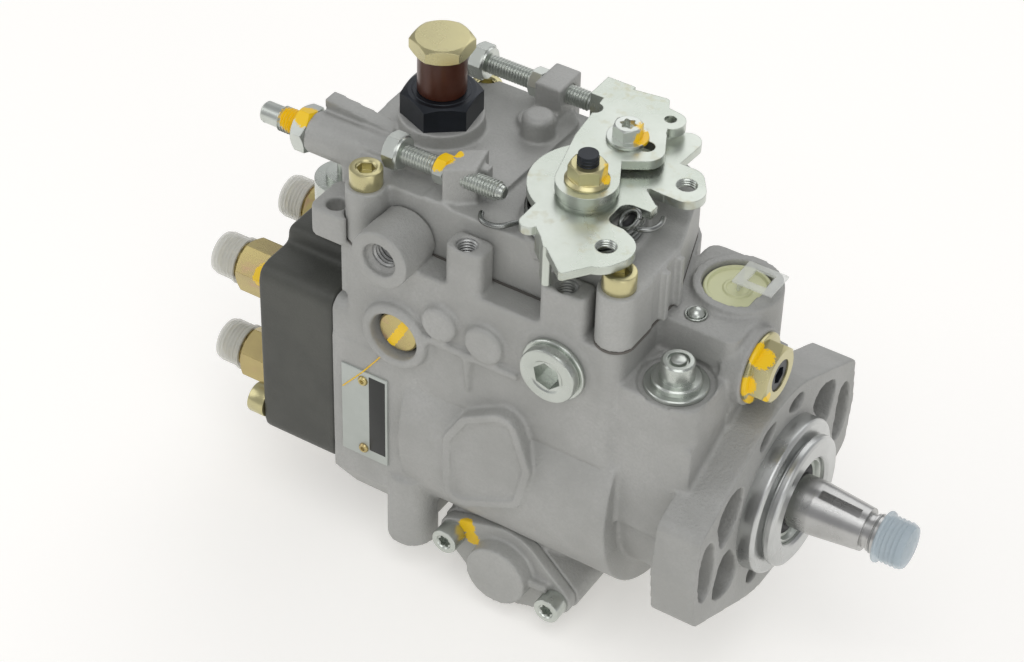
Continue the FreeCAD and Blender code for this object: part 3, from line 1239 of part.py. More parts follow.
def control_lever():
    """Lower lever: a disc with two threaded ears, a tongue, a stop finger and a tab bent down."""
    x, y = size("throttle_x"), size("throttle_y")
    span = ("control_lever_z", "control_lever_z + control_lever_thickness")
    through = ("control_lever_z - 1", "control_lever_z + control_lever_thickness + 1")
    outlines = {
        "disc": [(x - 0.5, y + 5, 19.3), (x + 0.5, y + 5, 19.3)],
        "neck": [(-50.0, -47.6, 1.2), (-47.5, -36.0, 6.0), (-54.0, -20.0, 5.0), (-62.0, -22.0, 6.0),
                 (-64.0, -29.0, 3.6), (-58.0, -40.0, 1.8)],
        "ear_front": [(-46.5, -34.0, 8.0), (-45.5, -31.5, 8.2), (-54.0, -26.0, 7.0)],
        "ear_side": [(-39.5, 3.0, 5.6), (-42.5, 7.5, 5.5), (-54.0, 5.5, 7.6)],
        "tongue": [(x + 3, y + 10, 11.0), (-51.0, 23.5, 4.3)],
        "stop_finger": [(x - 5, y - 12, 4.5), (-69.0, -34.0, 3.0)],
    }
    notches = {
        "notch": [(-48.6, -19.5, 2.8), (-36.0, -19.0, 4.0), (-36.0, -15.5, 4.0), (-48.2, -14.8, 3.2)],
        "slit": [(-48.4, -2.9, 0.7), (-43.0, -7.0, 1.0), (-38.0, -3.9, 0.9)],
    }
    solids = [wrapped(f"lever_{name}", "Z", *span, circles) for name, circles in outlines.items()]
    solids.append(wrapped("lever_bend", "Z", "control_lever_z - 6.4", span[1],
                          [(-65.6, -33.8, 1.4), (-62.5, -36.6, 1.4)]))
    solids.append(wrapped("lever_tab", "Z", "post_top + 1.5", span[1], [(-61.8, -37.2, 1.4), (-59.3, -40.2, 1.4)]))
    tools = [wrapped(f"lever_{name}", "Z", *through, circles) for name, circles in notches.items()]
    tools.append(cylinder("lever_seat", "stud_radius + 1.02", *through, "Z", ("throttle_x", "throttle_y")))
    for name, (eye_x, eye_y) in LEVER_EYES.items():
        tools.append(cylinder(f"lever_eye_{name}", "lever_eye", *through, "Z", (str(eye_x), str(eye_y))))
    return node("control_lever", cut("control_lever_cut", fuse("control_lever_whole", *solids), *tools))


def adjust_lever():
    """Upper lever, clamped to the lower one, with the tab that meets the far stop."""
    x, y = size("throttle_x"), size("throttle_y")
    low = "control_lever_z + control_lever_thickness + lever_spacer"
    span = (low, f"{low} + adjust_lever_thickness")
    through = (f"{low} - 1", f"{span[1]} + 1")
    tab_x = "stop_far_tip + 0.6"
    eye = (str(SPRING_EYE[0]), str(SPRING_EYE[1]))
    solids = [
        wrapped("adjust_arm", "Z", *span, [(x, y, 9.2), (-65.0, 0.0, 5.0), (-72.5, 3.0, 4.0)]),
        wrapped("adjust_plate", "Z", *span, [(-55.8, 7.5, 5.5), (-63.4, 31.4, 1.5), (-77.2, 29.0, 1.8),
                                             (-77.2, 22.5, 1.8), (-72.5, 3.0, 4.0), (-65.0, 1.0, 5.0)]),
        wrapped("adjust_ear", "Z", *span, [(-57.0, 24.1, 4.4), (-63.0, 25.0, 4.4)]),
        box("adjust_tab", (tab_x, f"{tab_x} + 3"), ("stop_far_y - 5", "stop_far_y + 5"), ("stop_z - 4", span[1])),
        box("adjust_tab_bridge", (tab_x, "-74"), ("stop_far_y - 5", "stop_far_y + 5"), span),
        cylinder("adjust_spacer", "8.5", "control_lever_z + control_lever_thickness", low, "Z",
                 ("throttle_x", "throttle_y")),
    ]
    tools = [
        cylinder("adjust_seat", "stud_radius + 1.02", "control_lever_z", through[1], "Z",
                 ("throttle_x", "throttle_y")),
        wrapped("adjust_slot", "Z", *through, [(-66.0, 9.5, 2.5), (-56.5, 9.0, 2.5)]),
        cylinder("adjust_eye", "1.8", *through, "Z", eye),
        cylinder("adjust_nick_front", "1.7", *through, "Z", ("-53.6", "18.6")),
        cylinder("adjust_nick_rear", "2.6", *through, "Z", ("-78.8", "17")),
    ]
    return node("adjust_lever", cut("adjust_cut", fuse("adjust_whole", *solids), *tools))


def lever_fixings():
    """Flanged nut on the stud and the screw that clamps the two levers."""
    top = "control_lever_z + control_lever_thickness + lever_spacer + adjust_lever_thickness"
    centre = ("throttle_x", "throttle_y")
    flange_disc = cylinder("lever_nut_flange", "nut_flange", top, f"{top} + 1.2", "Z", centre)
    hexed = hexagon("lever_nut_hex", "nut_flats", f"{top} + 1.2", f"{top} + nut_height", "Z", centre)
    hole = cylinder("lever_nut_hole", "stud_radius + 0.02", f"{top} - 1", f"{top} + nut_height + 1", "Z", centre)
    node("lever_nut", cut("lever_nut_cut", fuse("lever_nut_whole", flange_disc, hexed), hole))
    place_now = ("-63", "9.3")
    washer = cylinder("lever_washer", "6.2", top, f"{top} + 1.2", "Z", place_now)
    head = cylinder("lever_screw_head", "4.3", f"{top} + 1.2", f"{top} + 5.2", "Z", place_now)
    shank = cylinder("lever_screw_shank", "2.3", "control_lever_z + control_lever_thickness + 0.1", f"{top} + 1", "Z",
                     place_now)
    socket = hexagon("lever_screw_socket", "4", f"{top} + 2.5", f"{top} + 6", "Z", place_now)
    node("lever_screw", cut("lever_screw_cut", fuse("lever_screw_whole", washer, head, shank), socket))


def coil(name, radius, wire, pitch, turns, axis, start, centre):
    """Spring of flat facets: ten stations to a turn and six sides to the wire."""
    stations, sides = int(10 * turns), 6
    rings = []
    for step in range(stations + 1):
        angle = 2 * math.pi * step / 10
        rise = pitch * step / 10
        ring = []
        for side in range(sides):
            around = 2 * math.pi * side / sides
            reach = radius + wire * math.cos(around)
            ring.append(Vector(reach * math.cos(angle), reach * math.sin(angle), rise + wire * math.sin(around)))
        rings.append(ring)
    faces = []
    for ring, following in zip(rings, rings[1:]):
        for side in range(sides):
            beside = (side + 1) % sides
            for corners in ((ring[side], following[side], following[beside]),
                            (ring[side], following[beside], ring[beside])):
                faces.append(Part.Face(Part.makePolygon([*corners, corners[0]])))
    for end in (rings[0], rings[-1]):
        faces.append(Part.Face(Part.makePolygon([*end, end[0]])))
    solid = Part.Solid(Part.Shell(faces))
    if solid.Volume < 0:
        solid.reverse()
    spring = new("Part::Feature", name)
    spring.Shape = solid
    place(spring, axis, start, centre, TURN[axis])
    return spring


def return_spring():
    """Spring wound round the throttle's boss under the lever."""
    return node("return_spring", coil("return_coil", size("return_spring_radius"), size("return_spring_wire"),
                                      size("return_spring_pitch"), size("return_spring_turns"), "Z",
                                      "cover_roof + return_spring_wire + 1.05", ("throttle_x", "throttle_y")))


def governor_spring():
    """Spring between the lever's top and the throttle shaft's eccentric pin."""
    return node("governor_spring", coil("governor_coil", 2.4, 0.6, 3.0, 9.0, "X", "lever_x + 4",
                                        ("-10", "75.2")))


def timing_spring():
    """Spring behind the timing piston."""
    radius, wire, pitch, turns = size("timing_radius") - 4.9, 1.0, 2.6, 4.0
    return node("timing_spring", coil("timing_coil", radius, wire, pitch, turns, "Y",
                                      f"timing_half_width - {pitch * turns + wire + 0.05}",
                                      ("timing_x", "-timing_drop")))


def small_parts():
    """Plugs, plate, seal and bearing that stay on the housing."""
    side = "-side_y - 0.5"
    centre = ("plug_x", "plug_z")
    washer = cylinder("side_washer", "plug_washer", f"{side} - washer_width", side, "Y", centre)
    washer_hole = cylinder("side_washer_hole", "plug_radius - 2.98", f"{side} - washer_width - 1", "-side_y", "Y",
                           centre)
    stub_washer = cylinder("stub_washer", "9.5", "50.5", "50.5 + washer_width", "Z", ("stub_x", "stub_y"))
    stub_hole = cylinder("stub_washer_hole", "stub_radius - 0.98", "50", "53", "Z", ("stub_x", "stub_y"))
    node("plug_washers", group("washer_pair", cut("side_washer_cut", washer, washer_hole),
                               cut("stub_washer_cut", stub_washer, stub_hole)))
    head = cylinder("side_plug_head", "plug_radius", f"{side} - washer_width - plug_head", f"{side} - washer_width",
                    "Y", centre)
    thread = cylinder("side_plug_thread", "plug_radius - 3", f"{side} - washer_width", "-cavity_near - 1", "Y", centre)
    socket = hexagon("side_plug_socket", "8", f"{side} - washer_width - plug_head - 1", f"{side} - 0.5", "Y", centre)
    node("side_plug", cut("side_plug_cut", fuse("side_plug_whole", head, thread), socket))
    stub = cylinder("stub_top", "stub_radius", "50.5 + washer_width", "50.5 + washer_width + stub_height", "Z",
                    ("stub_x", "stub_y"))
    stub_base = cylinder("stub_base", "stub_radius + 2.5", "50.5 + washer_width", "50.5 + washer_width + 2", "Z",
                         ("stub_x", "stub_y"))
    stub_thread = cylinder("stub_thread", "stub_radius - 1", "44", "50.5 + washer_width", "Z", ("stub_x", "stub_y"))
    node("stub_plug", fuse("stub_whole", stub, stub_base, stub_thread))
    ball = new("Part::Sphere", "ball_solid")
    bind(ball, "Radius", "ball_radius")
    place(ball, "Z", "deck_z + 0.1", ("ball_x", "ball_y"), Rotation())
    node("ball_plug", fuse("ball_whole", ball, cylinder("ball_seat", "ball_radius", "deck_z - 4", "deck_z + 0.1", "Z",
                                                        ("ball_x", "ball_y"))))
    inlet = ("inlet_x", "inlet_y")
    node("inlet_plug", fuse("inlet_whole", cylinder("inlet_disc", "10", "inlet_top", "inlet_top + 2.5", "Z", inlet),
                            cylinder("inlet_neck", "inlet_bore - 0.03", "inlet_top - 9", "inlet_top", "Z", inlet),
                            box("inlet_tab", ("inlet_x - 1", "inlet_x + 1"), ("inlet_y - 4", "inlet_y + 4"),
                                ("inlet_top + 2", "inlet_top + 8"))))
    node("nameplate", box("nameplate_solid", ("-129.7", "-112.9"), ("-side_y - 1", "-side_y"), ("-17.1", "17.6")))
    rivets = []
    for index, z in enumerate(("14", "-13.5")):
        rivets.append(cylinder(f"rivet_{index}", "1.7", "-side_y - 1.9", "-side_y - 1", "Y", ("-121.3", z)))
    node("nameplate_rivets", group("rivet_pair", *rivets))
    seal = cylinder("seal_ring", "seal_radius", "nose_end - seal_width + 0.1", "nose_end - 0.3")
    seal_hole = cylinder("seal_hole", "shaft_radius + 0.02", "0", "nose_end + 1")
    step = cylinder("seal_step", "journal_radius + 0.3", "0", "pilot_length + 0.1")
    node("shaft_seal", cut("seal_cut", seal, seal_hole, step))
    bush = cylinder("bush_tube", "bush_radius", "vane_front + run_gap", "nose_end - seal_width")
    bush_hole = cylinder("bush_hole", "journal_radius + run_gap", "-45", "nose_end")
    node("shaft_bushing", cut("bush_cut", bush, bush_hole))


def build():
    for make in (pump_housing, governor_cover, cover_gasket, cover_screws, distributor_head, head_screws,
                 central_plug, valve_holders, valve_caps, shutoff_solenoid, timing_covers, timing_screws,
                 small_parts, overflow_parts, full_load_screw, stop_parts, cam_ring, pump_plate, drive_shaft,
                 shaft_cap, drive_gear, cross_disc, cam_plate, distributor_plunger, pump_rotor, pump_vanes,
                 governor_shaft, governor_locknut, flyweight_carrier, flyweights, governor_sleeve, governor_lever,
                 control_collar, pivot_plugs, roller_ring, rollers, timing_piston, timing_spring, governor_spring,
                 return_spring, throttle_shaft, control_lever, adjust_lever, lever_fixings):
        make()
    doc.recompute()


build()
for item in doc.Objects:
    assert not {"Invalid", "Error"} & set(item.State), f"{item.Name} {item.State}"
for name, item in NODES.items():
    assert not item.Shape.isNull() and item.Shape.isValid(), f"{name} has no valid shape"

os.makedirs("parts", exist_ok=True)
for name, item in NODES.items():
    item.Shape.exportStep(f"parts/{name}.step")
print(len(NODES), "parts")
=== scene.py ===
"""Looks of a distributor diesel injection pump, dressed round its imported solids."""
import json
import logging
import math
from contextlib import contextmanager
from dataclasses import dataclass, replace
from enum import Enum
from functools import reduce
from typing import Iterable, Iterator, Sequence

import bmesh
import bpy
from mathutils import Matrix, Vector

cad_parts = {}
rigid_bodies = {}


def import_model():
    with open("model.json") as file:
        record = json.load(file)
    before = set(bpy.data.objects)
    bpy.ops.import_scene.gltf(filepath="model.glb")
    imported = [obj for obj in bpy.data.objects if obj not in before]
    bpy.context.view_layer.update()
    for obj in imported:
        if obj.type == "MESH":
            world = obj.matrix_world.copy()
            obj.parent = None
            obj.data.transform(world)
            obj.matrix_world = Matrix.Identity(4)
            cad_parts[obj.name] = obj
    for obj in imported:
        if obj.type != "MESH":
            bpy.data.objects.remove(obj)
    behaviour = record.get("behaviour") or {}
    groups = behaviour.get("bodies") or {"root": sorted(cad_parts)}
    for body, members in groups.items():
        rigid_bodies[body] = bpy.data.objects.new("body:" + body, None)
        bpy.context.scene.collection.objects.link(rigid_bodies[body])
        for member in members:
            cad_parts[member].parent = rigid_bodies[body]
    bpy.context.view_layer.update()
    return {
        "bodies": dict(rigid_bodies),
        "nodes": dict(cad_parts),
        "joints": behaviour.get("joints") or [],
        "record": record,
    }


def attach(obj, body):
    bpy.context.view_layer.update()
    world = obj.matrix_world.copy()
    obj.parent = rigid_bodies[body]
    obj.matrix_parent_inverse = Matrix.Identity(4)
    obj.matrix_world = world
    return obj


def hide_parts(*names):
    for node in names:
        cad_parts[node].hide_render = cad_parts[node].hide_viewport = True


LOG = logging.getLogger("injection_pump")
MM = 0.001
CLOUD_SIZE = 1 / 0.045
STAIN_SIZE = 1 / 0.11
RELIEF = 0.12
CAST_RELIEF = 0.3

Piece = bpy.types.Object
Socket = bpy.types.NodeSocket
Flat = tuple[float, float]
Point = tuple[float, float, float]
Colour = tuple[float, float, float]
Mark = tuple[float, float, float, float]


class Axis(Enum):
    """Row axis that a turned piece lies along."""

    X = (1, 0, 0)
    Y = (0, 1, 0)
    Z = (0, 0, 1)

    def turn(self, flip: bool = False) -> Matrix:
        """Rotation that lays a piece's own Z along this axis.

        Args:
            flip: Lay it along the axis's negative side.

        Returns:
            A 4 by 4 matrix.
        """
        target = Vector(self.value) * (-1 if flip else 1)
        return Vector((0, 0, 1)).rotation_difference(target).to_matrix().to_4x4()


class Grain(Enum):
    """How a finish's surface is broken up."""

    CAST = "cast"
    MACHINED = "machined"
    PLATED = "plated"
    MOULDED = "moulded"
    TURNED = "turned"
    CLEAR = "clear"


@dataclass
class Graph:
    """A material's node tree, with one call for a node, its values and its links."""

    tree: bpy.types.NodeTree

    def fill(self, made: bpy.types.Node, inputs: dict) -> None:
        """Give each input its value, or link it to a socket."""
        for name, value in inputs.items():
            if isinstance(value, Socket):
                self.tree.links.new(value, made.inputs[name])
            else:
                made.inputs[name].default_value = value

    def node(self, kind: str, output: int | str, inputs: dict, **settings: str | int) -> Socket:
        """Add a node.

        Args:
            kind: Node type, without its ShaderNode prefix.
            output: Name or number of the output that is wanted.
            inputs: A value or a linked socket for each input.
            settings: Attributes of the node itself.

        Returns:
            The wanted output.
        """
        made = self.tree.nodes.new(f"ShaderNode{kind}")
        for name, value in settings.items():
            setattr(made, name, value)
        self.fill(made, inputs)
        return made.outputs[output]

    def math(self, operation: str, *values: Socket | float) -> Socket:
        """Work out a value."""
        return self.node("Math", 0, dict(enumerate(values)), operation=operation)

    def noise(self, place: Socket, size: float, detail: float, rough: float) -> Socket:
        """Noise with patches of a size in millimetres."""
        return self.node("TexNoise", "Fac", {"Scale": 1.0 / (size * MM), "Detail": detail, "Roughness": rough,
                                             "Vector": place})

    def stretched(self, value: Socket, low: float = 0.0, high: float = 1.0, start: float = 0.0,
                  end: float = 1.0) -> Socket:
        """Stretch a value from low and high to start and end."""
        return self.node("MapRange", "Result", {"From Min": low, "From Max": high, "To Min": start, "To Max": end,
                                                "Value": value})

    def blend(self, factor: Socket, under: Socket | Colour, over: Colour) -> Socket:
        """Blend from one colour to another."""
        first = under if isinstance(under, Socket) else (*under, 1)
        return self.node("Mix", "Result", {"A": first, "B": (*over, 1), "Factor": factor}, data_type="RGBA")

    def rings(self, place: Socket) -> Socket:
        """Place that changes only along the drive shaft and away from it, as turning marks do."""
        parts = self.node("SeparateXYZ", 0, {0: place}).node.outputs
        across = self.node("CombineXYZ", 0, {"X": parts["Y"], "Y": parts["Z"]})
        reach = self.node("VectorMath", "Value", {0: across}, operation="LENGTH")
        return self.node("CombineXYZ", 0, {"X": parts["X"], "Y": reach})

    def paint(self, place: Socket, fine: Socket, marks: Sequence[Mark]) -> Socket:
        """Dabs of marking paint round given places, as a share from 0 to 1."""
        dabs = []
        for x, y, z, reach in marks:
            centre = (x * MM, y * MM, z * MM)
            away = self.node("VectorMath", "Value", {0: place, 1: centre}, operation="DISTANCE")
            ragged = self.math("MULTIPLY_ADD", fine, 0.9 * reach * MM, away)
            dabs.append(self.stretched(ragged, 1.5 * reach * MM, 1.38 * reach * MM))
        return reduce(lambda first, second: self.math("MAXIMUM", first, second), dabs)


@dataclass(frozen=True)
class Finish:
    """One procedural finish, read from Object coordinates. Sizes are in millimetres."""

    name: str
    colour: Colour
    dark: Colour
    metallic: float
    roughness: float
    grain: Grain
    grain_size: float = 0.4
    bump: float = 0.15
    round_edge: float = 0.4
    alpha: float = 1.0
    stain: Colour | None = None
    marks: tuple[Mark, ...] = ()

    def material(self) -> bpy.types.Material:
        """Build the finish as a node material, once.

        Returns:
            The material, made or found.
        """
        own_name = f"look_{self.name}"
        found = bpy.data.materials.get(own_name)
        if found:
            return found
        made = bpy.data.materials.new(own_name)
        made.use_nodes = True
        graph = Graph(made.node_tree)
        cast = self.grain is Grain.CAST
        place = graph.node("TexCoord", "Object", {})
        cloud = graph.noise(place, CLOUD_SIZE, 4.0, 0.6)
        fine = graph.noise(graph.rings(place) if self.grain is Grain.TURNED else place, self.grain_size, 5.0, 0.65)
        colour = graph.blend(graph.stretched(cloud, 0.38, 0.66), self.dark, self.colour)
        share, shade = (0.5, 0.76) if cast else (0.22, 0.86)
        speck = graph.math("SUBTRACT", 1.0, graph.stretched(fine, 0.35, 0.7))
        colour = graph.blend(graph.math("MULTIPLY", speck, share), colour, tuple(shade * c for c in self.colour))
        if self.stain:
            patch = graph.stretched(graph.noise(place, STAIN_SIZE, 3.0, 0.7), 0.56, 0.72)
            colour = graph.blend(graph.math("MULTIPLY", patch, 0.75), colour, self.stain)
        metallic = self.metallic
        if self.marks:
            paint = graph.paint(place, fine, self.marks)
            colour = graph.blend(paint, colour, PAINT)
            metallic = graph.stretched(paint, start=self.metallic, end=0.0)
        rough = graph.stretched(cloud, start=max(self.roughness - 0.07, 0.03), end=min(self.roughness + 0.1, 1.0))
        height = fine
        if self.grain is Grain.MACHINED:
            height = graph.node("TexWave", "Fac", {"Scale": 0.35 / MM, "Distortion": 0.6, "Vector": place},
                                wave_type="RINGS")
        edge = graph.node("Bevel", "Normal", {"Radius": self.round_edge * MM}, samples=4)
        relief = graph.node("Bump", "Normal", {"Distance": (CAST_RELIEF if cast else RELIEF) * MM,
                                               "Strength": self.bump, "Normal": edge, "Height": height})
        shader = made.node_tree.nodes["Principled BSDF"]
        graph.fill(shader, {"Base Color": colour, "Metallic": metallic, "Roughness": rough, "Normal": relief})
        if self.grain is Grain.CLEAR:
            graph.fill(shader, {"IOR": 1.25, "Alpha": self.alpha})
        return made


PAINT = (0.93, 0.6, 0.008)
CAST_HOUSING = Finish("cast_housing", (0.45, 0.452, 0.434), (0.37, 0.372, 0.354), 0.25, 0.52, Grain.CAST, 0.9, 0.9,
                      0.5)
CAST_COVER = Finish("cast_cover", (0.46, 0.463, 0.444), (0.38, 0.383, 0.364), 0.28, 0.5, Grain.CAST, 0.8, 0.6,
                    0.5, marks=((-102.5, -25.5, 95.5, 2.6), (-101.0, -21.5, 96.5, 1.8)))
CAST_PAD = Finish("cast_pad", (0.5, 0.505, 0.495), (0.42, 0.425, 0.415), 0.6, 0.36, Grain.PLATED, 0.3, 0.1, 0.4)
DARK_HEAD = Finish("dark_head", (0.085, 0.087, 0.076), (0.055, 0.057, 0.05), 0.2, 0.45, Grain.CAST, 0.7, 0.45,
                   1.2)
TURNED = Finish("turned_rings", (0.6, 0.61, 0.6), (0.45, 0.46, 0.45), 0.92, 0.27, Grain.TURNED, 0.35, 0.3, 0.3)
ZINC = Finish("zinc_steel", (0.62, 0.65, 0.61), (0.5, 0.53, 0.49), 0.9, 0.27, Grain.PLATED, 0.8, 0.06, 0.3)
LEVER_ZINC = Finish("lever_zinc", (0.6, 0.635, 0.58), (0.48, 0.52, 0.46), 0.88, 0.27, Grain.PLATED, 1.2, 0.07,
                    0.35, stain=(0.44, 0.43, 0.31))
GOLD = Finish("gold_steel", (0.6, 0.55, 0.3), (0.5, 0.46, 0.26), 0.85, 0.27, Grain.PLATED, 0.8, 0.05, 0.3)
ROSE_GOLD = Finish("rose_gold", (0.56, 0.47, 0.2), (0.45, 0.36, 0.17), 0.85, 0.25, Grain.PLATED, 0.8, 0.05, 0.3,
                   stain=(0.5, 0.31, 0.22))
BLACK = Finish("black_steel", (0.03, 0.035, 0.045), (0.015, 0.018, 0.022), 0.6, 0.32, Grain.PLATED, 0.8, 0.06,
               0.3)
BROWN = Finish("brown_sleeve", (0.09, 0.026, 0.012), (0.05, 0.014, 0.007), 0.2, 0.3, Grain.PLATED, 0.8, 0.05,
               0.3)
CLEAR = Finish("clear_cap", (0.8, 0.8, 0.74), (0.72, 0.72, 0.66), 0.0, 0.25, Grain.CLEAR, 0.8, 0.05, 0.3,
               alpha=0.5)
CLEAR_BLUE = Finish("clear_blue_cap", (0.6, 0.69, 0.74), (0.52, 0.61, 0.67), 0.0, 0.25, Grain.CLEAR, 0.8, 0.05,
                    0.3, alpha=0.6)
CLEAR_TAB = Finish("clear_tab", (0.84, 0.86, 0.82), (0.78, 0.8, 0.76), 0.0, 0.25, Grain.CLEAR, 0.8, 0.05, 0.3,
                   alpha=0.4)
CREAM = Finish("cream_plastic", (0.7, 0.71, 0.44), (0.62, 0.64, 0.38), 0.0, 0.4, Grain.MOULDED, 0.8, 0.05, 0.5)
RUBBER = Finish("seal_rubber", (0.02, 0.02, 0.022), (0.012, 0.012, 0.013), 0.0, 0.55, Grain.MOULDED, 0.8, 0.05)
PLATE = Finish("bare_plate", (0.5, 0.53, 0.5), (0.43, 0.46, 0.43), 0.4, 0.42, Grain.PLATED, 0.9, 0.03, 0.1)
BAND = Finish("plate_band", (0.022, 0.024, 0.022), (0.014, 0.015, 0.014), 0.1, 0.4, Grain.PLATED, 0.5, 0.05, 0.1)
GROUND = Finish("ground_steel", (0.5, 0.5, 0.49), (0.36, 0.36, 0.35), 0.95, 0.25, Grain.TURNED, 0.22, 0.22, 0.3)
BRONZE = Finish("bronze", (0.5, 0.3, 0.12), (0.4, 0.24, 0.1), 0.9, 0.35, Grain.MACHINED, 0.6, 0.04, 0.3)
BOARD = Finish("gasket_board", (0.14, 0.13, 0.115), (0.1, 0.095, 0.085), 0.0, 0.8, Grain.MOULDED, 0.6, 0.2)
SPRING = Finish("spring_steel", (0.3, 0.31, 0.3), (0.2, 0.21, 0.2), 0.95, 0.26, Grain.PLATED, 0.8, 0.05, 0.3)
YELLOW = Finish("yellow_mark", (0.93, 0.6, 0.008), (0.86, 0.5, 0.008), 0.0, 0.38, Grain.MOULDED, 1.5, 0.3, 0.3)
FINISHES = {finish.name: finish for finish in (
    CAST_HOUSING, CAST_COVER, DARK_HEAD, ZINC, GOLD, BLACK, BROWN, CLEAR, CREAM, RUBBER, PLATE, GROUND, BRONZE,
    BOARD)}


def marked(finish: Finish, name: str, *marks: Mark) -> Finish:
    """A finish with dabs of marking paint.

    Args:
        finish: The finish under the paint.
        name: The new finish's name.
        marks: Centre and reach of each dab in millimetres.

    Returns:
        The painted finish.
    """
    return replace(finish, name=name, marks=marks)


def deselect() -> None:
    """Leave nothing selected, because operators act on all that is."""
    for item in bpy.context.selected_objects:
        item.select_set(False)


def activate(piece: Piece) -> None:
    """Select one piece alone and make it the active one."""
    deselect()
    piece.select_set(True)
    bpy.context.view_layer.objects.active = piece


@contextmanager
def editing() -> Iterator[None]:
    """Work on the whole active piece in edit mode."""
    bpy.ops.object.mode_set(mode="EDIT")
    bpy.ops.mesh.select_all(action="SELECT")
    yield
    bpy.ops.object.mode_set(mode="OBJECT")


def settle(piece: Piece, place: Matrix | None = None) -> None:
    """Put a piece's own place, or the one given, into its mesh."""
    piece.data.transform(piece.matrix_world if place is None else place)
    piece.matrix_world = Matrix.Identity(4)


def stand(origin: Point, axis: Axis = Axis.Z, flip: bool = False, turn: float = 0.0) -> Matrix:
    """Place of a piece that stands on a point along an axis, turned about it in degrees."""
    return (Matrix.Translation(Vector(origin) * MM) @ axis.turn(flip)
            @ Matrix.Rotation(math.radians(turn), 4, "Z"))


def finish_piece(piece: Piece, finish: Finish, body: str,
                 replaced: Iterable[str] = ()) -> Piece:
    """Dress a piece and tie it to its body.

    Args:
        piece: The new mesh object.
        finish: Its finish.
        body: The CAD body that it rides on.
        replaced: CAD nodes that it stands for.

    Returns:
        The same piece.
    """
    piece.data.materials.clear()
    piece.data.materials.append(finish.material())
    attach(piece, body)
    names = list(replaced)
    if names:
        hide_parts(*names)
    LOG.info("%s: %d faces on %s", piece.name, len(piece.data.polygons), body)
    return piece


def tidy_mesh(piece: Piece, sharp: float = 35.0) -> None:
    """Merge doubles, point faces outwards and shade by angle."""
    work = bmesh.new()
    work.from_mesh(piece.data)
    bmesh.ops.remove_doubles(work, verts=work.verts, dist=1e-6)
    bmesh.ops.recalc_face_normals(work, faces=work.faces)
    work.to_mesh(piece.data)
    work.free()
    activate(piece)
    bpy.ops.object.shade_smooth_by_angle(angle=math.radians(sharp))


def joined(name: str, pieces: list[Piece]) -> Piece:
    """Join several pieces into one object.

    Args:
        name: The joined piece's name.
        pieces: At least one mesh object.

    Returns:
        The joined piece.
    """
    deselect()
    for item in pieces:
        item.select_set(True)
    bpy.context.view_layer.objects.active = pieces[0]
    if len(pieces) > 1:
        bpy.ops.object.join()
    pieces[0].name = name
    return pieces[0]


def revolve(name: str, profile: list[Flat], axis: Axis, origin: Point,
            flip: bool = False, steps: int = 48) -> Piece:
    """Turn a closed outline of (along, radius) in millimetres into a round piece.

    Args:
        name: The piece's name.
        profile: Points round the wall's section.
        axis: Axis that the piece lies along.
        origin: Point in millimetres where along is zero.
        flip: Run towards the axis's negative side.
        steps: Faces round the piece.

    Returns:
        The finished mesh object, at the origin.
    """
    deselect()
    bpy.ops.mesh.primitive_plane_add(size=1.0)
    piece = bpy.context.active_object
    piece.name = name
    work = bmesh.new()
    corners = [work.verts.new((radius * MM, 0.0, along * MM)) for along, radius in profile]
    for first, second in zip(corners, corners[1:] + corners[:1]):
        work.edges.new((first, second))
    work.to_mesh(piece.data)
    work.free()
    with editing():
        bpy.ops.mesh.spin(steps=steps, angle=2 * math.pi, center=(0, 0, 0), axis=(0, 0, 1))
    settle(piece, stand(origin, axis, flip))
    tidy_mesh(piece)
    return piece


def hexagon(name: str, flats: float, height: float, axis: Axis, origin: Point,
            flip: bool = False, bore: float = 0.0, turn: float = 0.0, star: float = 0.0,
            both: bool = False) -> Piece:
    """A hexagon head with its corners turned off.

    Args:
        name: The piece's name.
        flats: Distance across flats in millimetres.
        height: Height in millimetres.
        axis: Axis that it stands along.
        origin: Centre of its seat in millimetres.
        flip: Stand towards the axis's negative side.
        bore: Radius of a through bore.
        turn: Turn about its axis in degrees.
        star: Reach of a star socket in its top.
        both: Turn the corners off at the seat too.

    Returns:
        The finished mesh object.
    """
    deselect()
    corner = flats / math.sqrt(3)
    bpy.ops.mesh.primitive_cylinder_add(vertices=6, radius=corner * MM, depth=height * MM,
                                        location=(0, 0, height / 2 * MM))
    piece = bpy.context.active_object
    piece.name = name
    settle(piece)
    slope, top, wide, over = 1.73, flats / 2 * 0.95, corner * 1.1, 0.3
    drop = (wide - top) / slope
    outline = [(height + over, 0.0), (height + over, top - over * slope), (height - drop, wide)]
    if both:
        outline += [(drop, wide), (-over, top - over * slope), (-over, 0.0)]
    else:
        outline += [(-over, wide), (-over, 0.0)]
    boolean(piece, revolve("crown", outline, Axis.Z, (0, 0, 0), steps=60), "INTERSECT")
    cutters = []
    if star:
        cutters.append(star_cutter(star, height * 1.2, height * 1.1))
    if bore:
        bpy.ops.mesh.primitive_cylinder_add(vertices=40, radius=bore * MM, depth=height * 3 * MM)
        cutters.append(bpy.context.active_object)
    for cutter in cutters:
        boolean(piece, cutter, "DIFFERENCE")
    settle(piece, stand(origin, axis, flip, turn))
    tidy_mesh(piece, 20)
    return piece


def ribbed(start: float, end: float, pitch: float, root: float, crest: float, width: float) -> list[Flat]:
    """Outline of round ribs between two places, as (along, radius)."""
    outline = []
    along = start
    while along < end:
        outline += [(along, root), (along + width / 2, crest), (along + width, root)]
        along += pitch
    return outline


